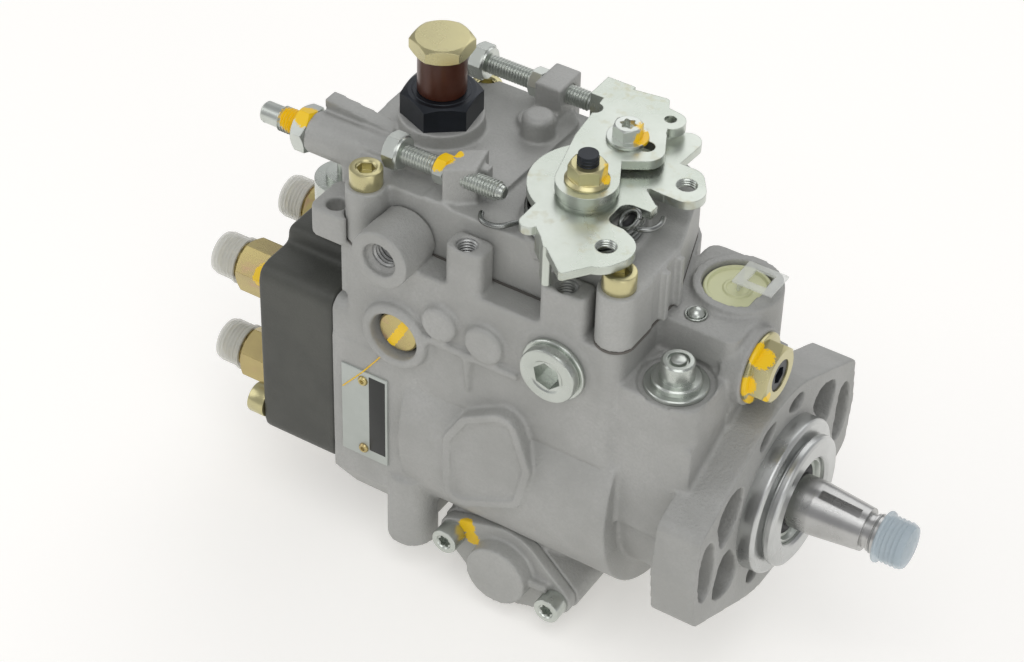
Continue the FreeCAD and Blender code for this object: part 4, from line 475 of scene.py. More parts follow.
def star_cutter(reach: float, depth: float, height: float) -> Piece:
    """A six-lobed prism that cuts a star socket.

    Args:
        reach: Radius of the lobes in millimetres.
        depth: Length of the prism.
        height: Height of its middle.

    Returns:
        The cutting object.
    """
    deselect()
    bpy.ops.mesh.primitive_cylinder_add(vertices=24, radius=reach * MM, depth=depth * MM,
                                        location=(0, 0, height * MM))
    cutter = bpy.context.active_object
    for corner in cutter.data.vertices:
        angle = math.atan2(corner.co.y, corner.co.x)
        share = 0.85 + 0.15 * math.cos(6 * angle)
        corner.co.x *= share
        corner.co.y *= share
    return cutter


def boolean(piece: Piece, tool: Piece, operation: str) -> None:
    """Apply a boolean with a tool object and delete the tool.

    Args:
        piece: The piece that is changed.
        tool: The object that cuts or limits it.
        operation: INTERSECT, DIFFERENCE or UNION.
    """
    activate(piece)
    change = piece.modifiers.new("change", "BOOLEAN")
    change.operation = operation
    change.solver = "EXACT"
    change.object = tool
    bpy.ops.object.modifier_apply(modifier=change.name)
    bpy.data.objects.remove(tool, do_unlink=True)


def threaded(name: str, radius: float, pitch: float, length: float, axis: Axis,
             origin: Point, flip: bool = False, core: float = 0.0) -> Piece:
    """A threaded rod as close ridges with chamfered ends.

    Args:
        name: The piece's name.
        radius: Crest radius in millimetres.
        pitch: Distance between crests.
        length: Rod length.
        axis: Axis that the rod lies along.
        origin: Start of the rod in millimetres.
        flip: Run towards the axis's negative side.
        core: Radius of a bore through it.

    Returns:
        The finished mesh object.
    """
    root = radius - 0.55 * pitch
    profile = [(0.0, core), (0.0, root)]
    along = pitch * 0.5
    while along + pitch * 0.5 < length:
        profile += [(along, radius), (along + pitch * 0.12, radius), (along + pitch * 0.5, root),
                    (along + pitch * 0.62, root)]
        along += pitch
    profile += [(length, root), (length, core)]
    return revolve(name, profile, axis, origin, flip, 40)


def tapped(name: str, radius: float, pitch: float, length: float, axis: Axis, origin: Point,
           flip: bool = False) -> Piece:
    """The ridges of a tapped hole.

    Args:
        name: The piece's name.
        radius: Radius of the hole in millimetres.
        pitch: Distance between ridges.
        length: Depth of the thread.
        axis: Axis that the hole lies along.
        origin: Start of the thread in millimetres.
        flip: Run towards the axis's negative side.

    Returns:
        The finished mesh object.
    """
    outer, ridge = radius + 0.08, radius - 0.5 * pitch
    inner = []
    along = pitch * 0.4
    while along + pitch * 0.6 < length:
        inner += [(along, radius - 0.02), (along + pitch * 0.4, ridge), (along + pitch * 0.55, ridge),
                  (along + pitch * 0.95, radius - 0.02)]
        along += pitch
    profile = [(0.0, outer), (0.0, radius - 0.02), *inner, (length, radius - 0.02), (length, outer)]
    return revolve(name, profile, axis, origin, flip, 36)


def socket_screw(name: str, head: float, height: float, socket: float, axis: Axis,
                 origin: Point, flip: bool = False, star: bool = False) -> Piece:
    """A round head with a rounded rim and a socket.

    Args:
        name: The piece's name.
        head: Head radius in millimetres.
        height: Head height.
        socket: Across flats of the socket.
        axis: Axis that the head stands along.
        origin: Centre of its seat in millimetres.
        flip: Stand towards the axis's negative side.
        star: Make the socket star-shaped.

    Returns:
        The finished mesh object.
    """
    rim = 0.55
    profile = [(0.0, 0.0), (0.0, head - 0.15), (0.35, head), (height - rim, head),
               (height - rim * 0.3, head - rim * 0.3), (height, head - rim), (height, socket * 0.66),
               (height - 0.5, socket * 0.58), (height - 0.5, 0.0)]
    piece = revolve(name, profile, Axis.Z, (0, 0, 0), steps=56)
    deselect()
    if star:
        cutter = star_cutter(socket * 0.58, height, height * 0.98)
    else:
        bpy.ops.mesh.primitive_cylinder_add(vertices=6, radius=socket / math.sqrt(3) * MM, depth=height * MM,
                                            location=(0, 0, height * 0.98 * MM))
        cutter = bpy.context.active_object
    boolean(piece, cutter, "DIFFERENCE")
    settle(piece, stand(origin, axis, flip))
    tidy_mesh(piece, 28)
    return piece


def block_between(name: str, low: Point, high: Point,
                  rounded: float = 0.0) -> Piece:
    """A block between two corners in millimetres, with its edges rounded if asked.

    Args:
        name: The piece's name.
        low: Lowest corner.
        high: Highest corner.
        rounded: Radius of its edges.

    Returns:
        The mesh object, at the origin.
    """
    deselect()
    bpy.ops.mesh.primitive_cube_add(size=1.0)
    piece = bpy.context.active_object
    piece.name = name
    centre = (Vector(low) + Vector(high)) / 2 * MM
    spans = (Vector(high) - Vector(low)) * MM
    settle(piece, Matrix.Translation(centre) @ Matrix.Diagonal((*spans, 1.0)))
    if rounded:
        with editing():
            bpy.ops.mesh.bevel(offset=rounded * MM, segments=3, affect="EDGES")
        tidy_mesh(piece, 30)
    return piece


def wire(name: str, points: list[Point], radius: float) -> Piece:
    """A bent round wire through points in millimetres.

    Args:
        name: The piece's name.
        points: Places that the wire passes.
        radius: Wire radius.

    Returns:
        The finished mesh object.
    """
    line = bpy.data.curves.new(name, "CURVE")
    line.dimensions = "3D"
    spline = line.splines.new("NURBS")
    spline.points.add(len(points) - 1)
    for point, place in zip(spline.points, points):
        point.co = (*(Vector(place) * MM), 1)
    spline.use_endpoint_u = True
    spline.order_u = 3
    line.resolution_u = 10
    line.bevel_depth = radius * MM
    line.bevel_resolution = 4
    line.use_fill_caps = True
    piece = bpy.data.objects.new(name, line)
    bpy.context.collection.objects.link(piece)
    activate(piece)
    bpy.ops.object.convert(target="MESH")
    piece = bpy.context.active_object
    tidy_mesh(piece, 60)
    return piece


def prism(name: str, outline: Sequence[Flat], axis: Axis, start: float, end: float,
          rounds: int = 0) -> Piece:
    """Extrude a flat outline along an axis.

    Args:
        name: The piece's name.
        outline: Corners in millimetres, as (x, y) along Z, (x, z) along Y or (y, z) along X.
        axis: Axis that it is extruded along.
        start: Where it starts along the axis.
        end: Where it ends.
        rounds: Rounds of corner cutting that soften the outline.

    Returns:
        The mesh object, at the origin.
    """
    points = [Vector(point) for point in outline]
    for _ in range(rounds):
        pairs = list(zip(points, points[1:] + points[:1]))
        points = [first.lerp(second, share) for first, second in pairs for share in (0.25, 0.75)]
    slot = list(Axis).index(axis)
    corners = [Vector((*point[:slot], start, *point[slot:])) * MM for point in points]
    deselect()
    bpy.ops.mesh.primitive_plane_add(size=1.0)
    piece = bpy.context.active_object
    piece.name = name
    work = bmesh.new()
    work.faces.new([work.verts.new(corner) for corner in corners])
    work.to_mesh(piece.data)
    work.free()
    with editing():
        travel = Vector(axis.value) * (end - start) * MM
        bpy.ops.mesh.extrude_region_move(TRANSFORM_OT_translate={"value": tuple(travel)})
    settle(piece)
    tidy_mesh(piece, 30)
    return piece


def ringed(centre: Flat, radius: float, first: float = 0.0, last: float = 360.0,
           count: int = 24) -> list[Flat]:
    """Points along an arc, with angles in degrees."""
    whole = last - first >= 360.0
    return [(centre[0] + radius * math.cos(math.radians(first + (last - first) * step / count)),
             centre[1] + radius * math.sin(math.radians(first + (last - first) * step / count)))
            for step in range(count if whole else count + 1)]


def wrap_round(circles: Sequence[Point]) -> list[Flat]:
    """Outline of a band pulled round circles given as (across, up, radius)."""
    points = sorted(point for across, up, radius in circles for point in ringed((across, up), radius, count=48))
    halves = []
    for ordered in (points, points[::-1]):
        half: list[Flat] = []
        for point in ordered:
            while len(half) > 1 and ((half[-1][0] - half[-2][0]) * (point[1] - half[-2][1])
                                     - (half[-1][1] - half[-2][1]) * (point[0] - half[-2][0])) <= 1e-9:
                half.pop()
            half.append(point)
        halves += half[:-1]
    return halves


def merged_copy(node: str, name: str) -> Piece:
    """A copy of a CAD node with its loose triangles merged.

    Args:
        node: The CAD node.
        name: The copy's name.

    Returns:
        The mesh object, selected and active.
    """
    piece = bpy.data.objects.new(name, FRAME["nodes"][node].data.copy())
    bpy.context.collection.objects.link(piece)
    work = bmesh.new()
    work.from_mesh(piece.data)
    bmesh.ops.remove_doubles(work, verts=work.verts, dist=1e-6)
    work.to_mesh(piece.data)
    work.free()
    activate(piece)
    return piece


def keep_between(piece: Piece, low_x: float, high_x: float) -> None:
    """Keep the stretch of a piece between two places along the shaft.

    Args:
        piece: The piece that is cut.
        low_x: Lower limit in millimetres.
        high_x: Upper limit in millimetres.
    """
    boolean(piece, block_between("stretch", (low_x, -90.0, -90.0), (high_x, 90.0, 120.0)), "INTERSECT")


def cast_skin(piece: Piece, voxel: float, rounds: int, limit: int) -> Piece:
    """Give a casting the soft edges that its mould gives.

    Args:
        piece: A merged copy of a CAD node.
        voxel: Size of the grid that it is remade on, in millimetres.
        rounds: Smoothing rounds.
        limit: Most triangles that the piece may keep.

    Returns:
        The finished mesh object.
    """
    activate(piece)
    remake = piece.modifiers.new("remake", "REMESH")
    remake.mode = "VOXEL"
    remake.voxel_size = voxel * MM
    bpy.ops.object.modifier_apply(modifier=remake.name)
    soften = piece.modifiers.new("soften", "SMOOTH")
    soften.factor = 0.5
    soften.iterations = rounds
    bpy.ops.object.modifier_apply(modifier=soften.name)
    count = len(piece.data.polygons) * 2
    if count > limit:
        thin = piece.modifiers.new("thin", "DECIMATE")
        thin.ratio = limit / count
        bpy.ops.object.modifier_apply(modifier=thin.name)
    bpy.ops.object.shade_smooth()
    LOG.info("%s: %d triangles from %d", piece.name, len(piece.data.polygons), count)
    return piece


FRAME: dict = {}


@dataclass
class Castings:
    """The cast housing, cover, head and timing covers, with the soft edges of their moulds."""

    voxel: float = 0.6
    rounds: int = 2
    most: int = 190000
    flange_depth: float = 14.0
    window_depth: float = 11.0
    slots: tuple[tuple[Flat, ...], ...] = (
        ((42.7, 12.6), (46.0, 9.0), (47.4, -1.0), (44.6, -10.2), (39.0, -10.4), (37.2, -4.7), (38.2, 2.3),
         (38.6, 10.8)),
        ((-41.9, 12.4), (-38.8, 8.0), (-38.4, -3.5), (-41.2, -10.4), (-45.4, -10.2), (-47.6, -4.0), (-47.8, 6.7),
         (-45.4, 12.6)))
    windows: tuple[tuple[Flat, ...], ...] = (
        ((33.1, 20.2), (35.8, 16.4), (34.6, 9.6), (31.6, 3.4), (26.9, 8.5), (21.4, 14.9), (19.6, 19.6), (24.6, 23.4)),
        ((10.8, 31.5), (12.6, 28.6), (10.4, 25.4), (3.9, 27.4), (2.2, 30.5), (5.2, 32.6)),
        ((-6.1, 32.1), (-5.1, 30.0), (-7.0, 27.0), (-11.4, 25.0), (-14.6, 26.3), (-15.2, 29.6), (-11.1, 32.6)),
        ((-23.8, 20.4), (-22.9, 14.5), (-26.5, 6.4), (-34.4, 3.2), (-36.2, 6.7), (-36.8, 10.0), (-38.4, 14.4),
         (-36.2, 19.2), (-30.6, 22.8)),
        ((-28.2, -0.6), (-23.8, -9.2), (-22.4, -15.6), (-27.5, -19.6), (-35.6, -17.0), (-38.2, -13.0),
         (-36.6, -7.3), (-34.4, -0.8)),
        ((-6.4, -27.4), (-9.6, -29.4), (-13.4, -28.4), (-15.3, -25.1), (-14.1, -21.8), (-8.0, -24.6)))
    plate_circles: tuple[Point, ...] = (
        (0.0, 0.0, 36.5), (44.3, 14.4, 4.5), (46.0, 0.0, 4.6), (44.3, -14.0, 4.5), (-44.3, 14.0, 4.5),
        (-46.0, 0.0, 4.6), (-44.3, -14.4, 4.5))
    block_face: tuple[Point, ...] = (
        (-84.0, -9.0, 3.2), (-68.0, -1.5, 3.2), (-65.5, 10.0, 3.2), (-70.0, 22.0, 3.2), (-79.5, 16.5, 3.2),
        (-84.5, 8.0, 3.2))
    inlet: Flat = (-22.0, 6.0)
    inlet_corner: Flat = (-4.0, 32.0)
    port: Point = (-109.5, -40.0, 38.0)
    blind_discs: tuple[Point, ...] = ((-94.0, 49.5, 5.9), (-78.5, 49.0, 6.4))
    nose: tuple[Flat, ...] = (
        (-3.0, 14.05), (-3.0, 24.6), (0.0, 25.0), (4.4, 25.0), (4.9, 24.8), (5.5, 23.9), (5.5, 19.4), (5.8, 19.0),
        (6.5, 19.0), (6.7, 19.6), (6.7, 20.6), (7.0, 21.0), (8.4, 21.0), (9.0, 20.7), (9.5, 19.7), (9.5, 15.2),
        (9.3, 14.7), (8.6, 14.05))
    lug_drill: Point = (-96.9, -27.5, 81.0)
    lug: tuple[Flat, ...] = ((-100.9, -30.6), (-92.6, -24.2), (-94.9, -14.2), (-102.0, -19.0))

    def plate(self) -> list[Piece]:
        """The flange's plate with its slots and windows, and the seats that stand in front of its back."""
        piece = prism("flange_plate", wrap_round(self.plate_circles), Axis.X, -self.flange_depth - 0.5, 0.0)
        boolean(piece, prism("flange_bore", ringed((0.0, 0.0), 13.0, count=64), Axis.X, -20.0, 3.0), "DIFFERENCE")
        for outlines, depth in ((self.slots, self.flange_depth + 2.0), (self.windows, self.window_depth)):
            for index, outline in enumerate(outlines):
                boolean(piece, prism(f"window_{index}", outline, Axis.X, -depth, 2.0, 2), "DIFFERENCE")
        seats = [merged_copy("pump_housing", "flange_seats")]
        boolean(seats[0], block_between("seat_space", (-14.8, -60.0, 37.2), (-5.0, 60.0, 90.0)), "INTERSECT")
        seats.append(block_between("block_foot", (-15.0, -16.6, 20.0), (-10.4, 20.6, 37.8)))
        seats.append(block_between("step_foot", (-15.0, -37.6, 8.0), (-11.2, -12.4, 37.8)))
        return [piece, *seats]

    def reliefs(self) -> list[Piece]:
        """Raised rings, discs and ribs on the near wall."""
        forms = [revolve("port_rim", [(-3, 8.2), (-3, 11.5), (2.0, 11.4), (2.8, 10.9), (3.1, 10.2), (3.1, 9.0),
                                      (2.7, 8.3), (2.2, 8.2)], Axis.Y, self.port, True, 64)]
        for index, (x, z, radius) in enumerate(self.blind_discs):
            forms.append(revolve(f"blind_disc_{index}", [(-3, 0), (-3, radius + 0.3), (1.9, radius), (2.6, radius - 0.6),
                                                         (2.8, radius - 1.4), (2.8, 0)], Axis.Y, (x, -40.0, z), True))
        forms.append(block_between("level_rib", (-99.0, -41.9, 40.6), (-67.0, -38.0, 43.0)))
        forms.append(revolve("upright_rib", [(0, 0), (0, 0.6), (13.5, 2.1), (13.5, 0)], Axis.Z, (-84.4, -40.2, 28.0)))
        forms.append(block_between("plate_pad", (-133.4, -40.3, -27.0), (-104.5, -38.0, 27.0)))
        forms.append(prism("block_fill", ringed((-75.5, 7.0), 9.0), Axis.Y, -43.9, -41.0))
        return forms

    def housing(self) -> None:
        """Remake the housing with its flange, and turn the nose in front of it."""
        whole = merged_copy("pump_housing", "housing_casting")
        keep_between(whole, -170.0, -self.flange_depth - 0.3)
        boolean(whole, prism("block_recess", wrap_round(self.block_face), Axis.Y, -47.0, -43.9), "DIFFERENCE")
        recess = prism("inlet_recess", ringed(self.inlet, 10.7, count=48), Axis.Z, 62.2, 70.0)
        boolean(whole, recess, "DIFFERENCE")
        parts = [whole, *self.plate(), *self.reliefs()]
        (x, y), (far_x, far_y) = self.inlet, self.inlet_corner
        corner = ringed(self.inlet, 13.5, 0.0, 90.0, 14) + [(x, far_y), (far_x, far_y), (far_x, y)]
        for part in (parts[0], parts[2]):
            boolean(part, prism("inlet_round", corner, Axis.Z, 38.1, 70.0), "DIFFERENCE")
        whole = joined("housing_casting", parts)
        cast_skin(whole, self.voxel, self.rounds, self.most)
        finish_piece(whole, CAST_HOUSING, "pump", ["pump_housing"])
        nose = revolve("nose_rings", list(self.nose), Axis.X, (0, 0, 0), steps=96)
        tidy_mesh(nose, 18)
        finish_piece(nose, TURNED, "pump")

    def cover(self) -> None:
        """Remake the cover, with the slanted near lug and the round boss behind the far one."""
        cover = merged_copy("governor_cover", "cover_casting")
        boolean(cover, block_between("lug_space", (-110.0, -33.0, 84.2), (-99.4, -17.0, 99.0)), "DIFFERENCE")
        boolean(cover, block_between("lug_space_front", (-99.5, -33.0, 84.2), (-97.0, -21.3, 99.0)), "DIFFERENCE")
        forms = [prism("near_lug", self.lug, Axis.Z, 70.0, 96.0),
                 revolve("round_boss", [(0, 0), (0, 5.3), (11.6, 5.0), (12.6, 4.3), (13.0, 3.2), (13.0, 0)], Axis.Z,
                         (-94.6, 12.0, 80.0))]
        lug = forms[0]
        drill = revolve("lug_drill", [(-4.0, 0), (-4.0, 1.25), (4.0, 1.25), (4.0, 0)], Axis.Y, (0, 0, 0), steps=24)
        settle(drill, stand(self.lug_drill, turn=38))
        boolean(lug, drill, "DIFFERENCE")
        cover = joined("cover_casting", [cover, *forms])
        cast_skin(cover, self.voxel * 0.9, self.rounds, self.most)
        finish_piece(cover, CAST_COVER, "pump", ["governor_cover"])

    def head(self) -> None:
        """Remake the dark head with its large soft corners."""
        head = cast_skin(merged_copy("distributor_head", "head_casting"), 0.8, 16, 120000)
        painted = marked(DARK_HEAD, "dark_head_marked", (-166.5, -27.5, 23.0, 3.2), (-164.0, -27.0, 27.0, 2.6))
        finish_piece(head, painted, "pump", ["distributor_head"])

    def timing(self) -> None:
        """Remake the timing covers, with the short rib beside the near dome."""
        covers = merged_copy("timing_covers", "timing_castings")
        rib = block_between("timing_rib", (-66.5, -38.6, -43.4), (-56.0, -35.0, -40.6))
        boolean(covers, rib, "UNION")
        cast_skin(covers, 0.5, 3, 60000)
        painted = marked(CAST_COVER, "timing_cover_marked", (-86.5, -37.0, -32.5, 3.2), (-84.5, -37.0, -36.5, 2.8))
        finish_piece(covers, painted, "pump", ["timing_covers"])

    def build(self) -> None:
        """Remake the castings in turn."""
        self.housing()
        self.cover()
        self.head()
        self.timing()


@dataclass
class Outlets:
    """Four delivery valve holders with their clear caps, and the central plug."""

    offset: float = 18.0
    face: float = -166.0
    flats: float = 15.6
    hex_height: float = 15.0
    reach: float = 23.8
    cap_length: float = 9.5

    def holder(self, index: int, y: float, z: float) -> Piece:
        """One holder: hexagon, collar and thread.

        Args:
            index: Its number.
            y: Across position in millimetres.
            z: Height in millimetres.

        Returns:
            The joined piece.
        """
        head = hexagon(f"holder_head_{index}", self.flats, self.hex_height - 2.0, Axis.X, (self.face - 2.0, y, z),
                       True, turn=12.0 * index + 4.0, both=True)
        collar = revolve(f"holder_collar_{index}", [(0, 0), (0, 7.7), (2.0, 7.7), (2.0, 0)], Axis.X,
                         (self.face, y, z), True)
        screw = threaded(f"holder_thread_{index}", 6.0, 1.5, self.reach - self.hex_height, Axis.X,
                         (self.face - self.hex_height, y, z), True, 1.2)
        return joined(f"outlet_holder_{index}", [head, collar, screw])

    def cap(self, index: int, y: float, z: float) -> Piece:
        """One thin ribbed cap with a flared rim."""
        length = self.cap_length
        ribs = ribbed(2.0, length - 1.6, 1.3, 7.0, 7.25, 0.8)
        profile = [(0.0, 7.7), (0.9, 7.8), (1.3, 7.2), *ribs, (length - 0.4, 6.8), (length, 6.2),
                   (length, 0.0), (length - 0.6, 0.0), (length - 0.6, 6.1), (length - 1.6, 6.5), (1.3, 6.6),
                   (0.0, 6.9)]
        return revolve(f"outlet_cap_{index}", profile, Axis.X, (self.face - self.hex_height - 1.0, y, z), True)

    def build(self) -> None:
        """Make the holders and caps and dress them."""
        places = [(sy * self.offset, sz * self.offset) for sy, sz in ((1, 1), (-1, 1), (-1, -1), (1, -1))]
        holders = joined("outlet_holders", [self.holder(i, y, z) for i, (y, z) in enumerate(places)])
        caps = joined("outlet_caps", [self.cap(i, y, z) for i, (y, z) in enumerate(places)])
        painted = marked(ROSE_GOLD, "rose_gold_marked", (self.face - 3.5, -self.offset - 7.0, self.offset + 4.0, 4.4))
        finish_piece(holders, painted, "pump", ["valve_holders"])
        finish_piece(caps, CLEAR, "pump", ["valve_caps"])
        plug = [hexagon("centre_head", 17.0, 6.0, Axis.X, (self.face, 0, 0), True, turn=8),
                hexagon("centre_vent", 8.0, 4.0, Axis.X, (self.face - 6.0, 0, 0), True, turn=20),
                revolve("centre_thread", [(0, 0), (0, 6.0), (7, 6.0), (7, 0)], Axis.X, (self.face, 0, 0))]
        finish_piece(joined("centre_plug", plug), ZINC, "pump", ["central_plug"])


@dataclass
class Fasteners:
    """Screws on the cover, the head and the timing covers."""

    cover_places: tuple[Point, ...] = (
        (-124.4, -34.0, 83.5), (-39.4, -34.0, 83.5), (-124.4, 30.5, 75.5), (-65.0, 30.5, 75.5))
    head_places: tuple[Flat, ...] = ((-35.95, -18.0), (35.95, -18.0), (35.95, 18.0))
    timing_places: tuple[Flat, ...] = ((-91.3, -37.313), (-53.7, -46.687))

    def build(self) -> None:
        """Make the fasteners and dress them."""
        cover = [socket_screw(f"cover_head_{i}", 5.0, 6.0, 5.0, Axis.Z, place)
                 for i, place in enumerate(self.cover_places)]
        cover += [revolve(f"cover_shank_{i}", [(0, 0), (0, 3.0), (20.0, 3.0), (20.0, 0)], Axis.Z, place, True)
                  for i, place in enumerate(self.cover_places)]
        finish_piece(joined("cover_screw_heads", cover), GOLD, "pump", ["cover_screws"])
        head = [socket_screw(f"head_head_{i}", 5.0, 6.0, 5.0, Axis.X, (-161.0, y, z), True)
                for i, (y, z) in enumerate(self.head_places)]
        finish_piece(joined("head_screw_heads", head), GOLD, "pump", ["head_screws"])
        timing = []
        for i, (x, z) in enumerate(self.timing_places):
            for side in (-1, 1):
                timing.append(socket_screw(f"timing_head_{i}_{side}", 4.4, 6.0, 4.0, Axis.Y, (x, side * 36.0, z),
                                           side < 0, True))
        finish_piece(joined("timing_screw_heads", timing), ZINC, "pump", ["timing_screws"])


@dataclass
class Adjusters:
    """Stop screws and the full-load screw."""

    stop_z: float = 91.3
    near: Mark = (-24.5, -118.0, -83.0, -101.6)
    far: Mark = (27.7, -122.0, -84.0, -102.0)
    load: Flat = (-17.0, 79.5)

    def stop_screw(self, name: str, sizes: Mark) -> Piece:
        """One stop screw: flanged hexagon head, thread and dog point."""
        y, head, tip, _ = sizes
        rod = threaded(f"{name}_rod", 3.0, 1.0, tip - head - 1.4, Axis.X, (head, y, self.stop_z))
        point = revolve(f"{name}_point", [(0, 0), (0, 2.2), (1.0, 2.0), (1.4, 1.5), (1.4, 0)], Axis.X,
                        (tip - 1.4, y, self.stop_z))
        flange = revolve(f"{name}_flange", [(-0.5, 0), (-0.5, 4.9), (0.2, 5.1), (0.7, 4.9), (0.7, 0)], Axis.X,
                         (head, y, self.stop_z))
        crown = hexagon(f"{name}_crown", 10.0, 4.4, Axis.X, (head, y, self.stop_z), True, turn=12)
        return joined(name, [rod, point, flange, crown])

    def build(self) -> None:
        """Make the adjusters and dress them."""
        screws = joined("stop_screw_pair", [self.stop_screw("near_stop", self.near),
                                            self.stop_screw("far_stop", self.far)])
        finish_piece(screws, ZINC, "pump", ["stop_screws"])
        nuts = [hexagon(f"stop_nut_{i}", 8.0, 4.0, Axis.X, (lug, y, self.stop_z), True, bore=3.05, turn=10, both=True)
                for i, (y, _, _, lug) in enumerate((self.near, self.far))]
        nut_paint = marked(ZINC, "zinc_nut_marked", (-104.0, -24.5, 94.5, 4.2))
        finish_piece(joined("stop_locknuts", nuts), nut_paint, "pump", ["stop_nuts"])
        centre = self.load
        rod = threaded("load_rod", 4.0, 1.0, 26.0, Axis.X, (-141.5, *centre), True)
        pin = revolve("load_pin", [(0, 0), (0, 3.4), (4.9, 3.4), (5.5, 2.9), (5.5, 0)], Axis.X, (-167.5, *centre), True)
        deselect()
        bpy.ops.mesh.primitive_cube_add(size=1.0, location=(-173.0 * MM, centre[0] * MM, centre[1] * MM))
        slot = bpy.context.active_object
        slot.scale = (3.4 * MM, 12 * MM, 1.3 * MM)
        slot.rotation_euler = (math.radians(35), 0, 0)
        boolean(pin, slot, "DIFFERENCE")
        tidy_mesh(pin, 30)
        painted = marked(ZINC, "zinc_marked", (-162.0, -18.0, 81.5, 4.2), (-156.0, -19.0, 86.0, 4.0))
        finish_piece(joined("full_load_adjuster", [rod, pin]), painted, "pump", ["full_load_screw"])
        nut = hexagon("full_load_nut", 13.0, 5.0, Axis.X, (-154.5, *centre), True, bore=4.05, turn=15, both=True)
        finish_piece(nut, painted, "pump", ["full_load_locknut"])


@dataclass
class Overflow:
    """Union, sleeve and bolt on top of the cover."""

    x: float = -120.7
    base: float = 90.5

    def build(self) -> None:
        """Make the three pieces and dress them."""
        union = [hexagon("union_nut", 21.6, 8.1, Axis.Z, (self.x, 0, self.base), bore=4.05, turn=8),
                 revolve("union_face", [(8.0, 4.05), (8.0, 8.9), (8.3, 8.8), (8.3, 4.05)], Axis.Z,
                         (self.x, 0, self.base))]
        finish_piece(joined("union_body", union), BLACK, "pump", ["overflow_union"])
        sleeve = revolve("union_sleeve", [(0, 4.05), (0, 7.0), (0.4, 7.4), (13.1, 7.4), (13.5, 7.0), (13.5, 4.05)],
                         Axis.Z, (self.x, 0, self.base + 8.1))
        finish_piece(sleeve, BROWN, "pump", ["overflow_sleeve"])
        bolt = [hexagon("union_bolt_head", 17.0, 5.0, Axis.Z, (self.x, 0, self.base + 21.6), turn=3, both=True),
                revolve("union_bolt_shank", [(0, 0), (0, 4.0), (21.0, 4.0), (21.0, 0)], Axis.Z,
                        (self.x, 0, self.base + 0.6))]
        finish_piece(joined("union_bolt", bolt), GOLD, "pump", ["overflow_bolt"])


@dataclass
class Throttle:
    """Fixings of the levers."""

    x: float = -62.5
    y: float = -14.0
    top: float = 98.5
    clamp: Flat = (-63.0, 9.3)
    eyes: tuple[Flat, ...] = ((-45.4, -31.9), (-40.7, 5.1))
    eye_z: float = 91.0

    def build(self) -> None:
        """Make the nut, the stud's thread and the clamp screw."""
        flange = revolve("throttle_nut_flange", [(0, 3.05), (0, 6.5), (0.6, 6.6), (1.4, 5.6), (1.4, 3.05)], Axis.Z,
                         (self.x, self.y, self.top))
        crown = hexagon("throttle_nut_crown", 10.0, 4.7, Axis.Z, (self.x, self.y, self.top + 1.2), bore=3.05, turn=6)
        painted = marked(GOLD, "gold_nut_marked", (self.x + 5.6, self.y + 2.0, self.top + 3.0, 3.0),
                         (self.x - 1.0, self.y + 6.5, self.top + 4.0, 2.6))
        finish_piece(joined("throttle_nut", [flange, crown]), painted, "throttle", ["lever_nut"])
        washer = revolve("clamp_washer", [(0, 2.35), (0, 6.1), (0.4, 6.3), (1.2, 6.2), (1.2, 2.35)], Axis.Z,
                         (*self.clamp, self.top))
        head = hexagon("clamp_head", 8.0, 4.0, Axis.Z, (*self.clamp, self.top + 1.2), turn=14, star=2.6)
        shank = revolve("clamp_shank", [(0, 0), (0, 2.3), (4.4, 2.3), (4.4, 0)], Axis.Z, (*self.clamp, self.top + 1.2),
                        True)
        screw_mark = marked(ZINC, "zinc_screw_marked", (-59.0, 10.5, self.top + 2.0, 3.6))
        finish_piece(joined("clamp_screw", [washer, head, shank]), screw_mark, "throttle",
                     ["lever_screw"])
        stud = threaded("stud_thread", 3.22, 1.0, 8.6, Axis.Z, (self.x, self.y, self.top + 0.5))
        finish_piece(stud, BLACK, "throttle")
        eyes = [tapped(f"eye_thread_{i}", 3.1, 0.8, 2.8, Axis.Z, (x, y, self.eye_z))
                for i, (x, y) in enumerate(self.eyes)]
        finish_piece(joined("eye_threads", eyes), ZINC, "throttle")


@dataclass
class Springs:
    """The return spring with its hooked ends."""

    x: float = -62.5
    y: float = -14.0
    radius: float = 17.1
    wire_radius: float = 0.85
    low: float = 84.8
    rise: float = 4.9
    turns: float = 2.55
    first: float = 218.0
    hook: tuple[Point, ...] = (
        (-88.2, -28.6, 85.0), (-87.4, -31.0, 85.0), (-84.6, -32.4, 85.0), (-80.5, -31.6, 85.0), (-78.0, -28.0, 85.1))
    tail: tuple[Point, ...] = (
        (-45.3, -16.0, 89.7), (-42.6, -15.4, 90.0), (-40.6, -13.5, 90.0), (-40.0, -9.6, 89.8), (-41.4, -6.4, 89.0))
    loop: Point = (-46.8, -16.4, 92.6)

    def coil(self) -> list[Point]:
        """Points along the coil, from its low end upwards."""
        count = int(16 * self.turns)
        points = []
        for step in range(count + 1):
            angle = math.radians(self.first) + 2 * math.pi * self.turns * step / count
            points.append((self.x + self.radius * math.cos(angle), self.y + self.radius * math.sin(angle),
                           self.low + self.rise * step / count))
        return points

    def build(self) -> None:
        """Bend the wire: a hook round the near lug, the coil, and a loop over the lever's notch; set a black sleeve of
        painted shade inside the coil.
        """
        x, y, z = self.loop
        ring = [(x + 2.9 * math.cos(angle), y + 2.0 * math.sin(angle), z + 2.6 * math.sin(angle + 0.6))
                for angle in (step * math.pi / 6 for step in range(13))]
        coil = wire("return_wires", [*self.hook, *self.coil(), *self.tail], self.wire_radius)
        finish_piece(coil, SPRING, "pump", ["return_spring"])
        finish_piece(wire("return_loop", ring, 0.75), SPRING, "throttle")
        # Black rubber sleeve inside the coil: painted shade for the dark space between the coil and the boss under the
        # lever.
        shade_core = revolve("coil_painted_shade", [(83.2, 13.6), (83.2, 15.9), (84.0, 16.0), (90.2, 15.4), (90.6, 15.0),
                                         (90.6, 13.6)], Axis.Z, (self.x, self.y, 0), steps=72)
        finish_piece(shade_core, RUBBER, "pump")


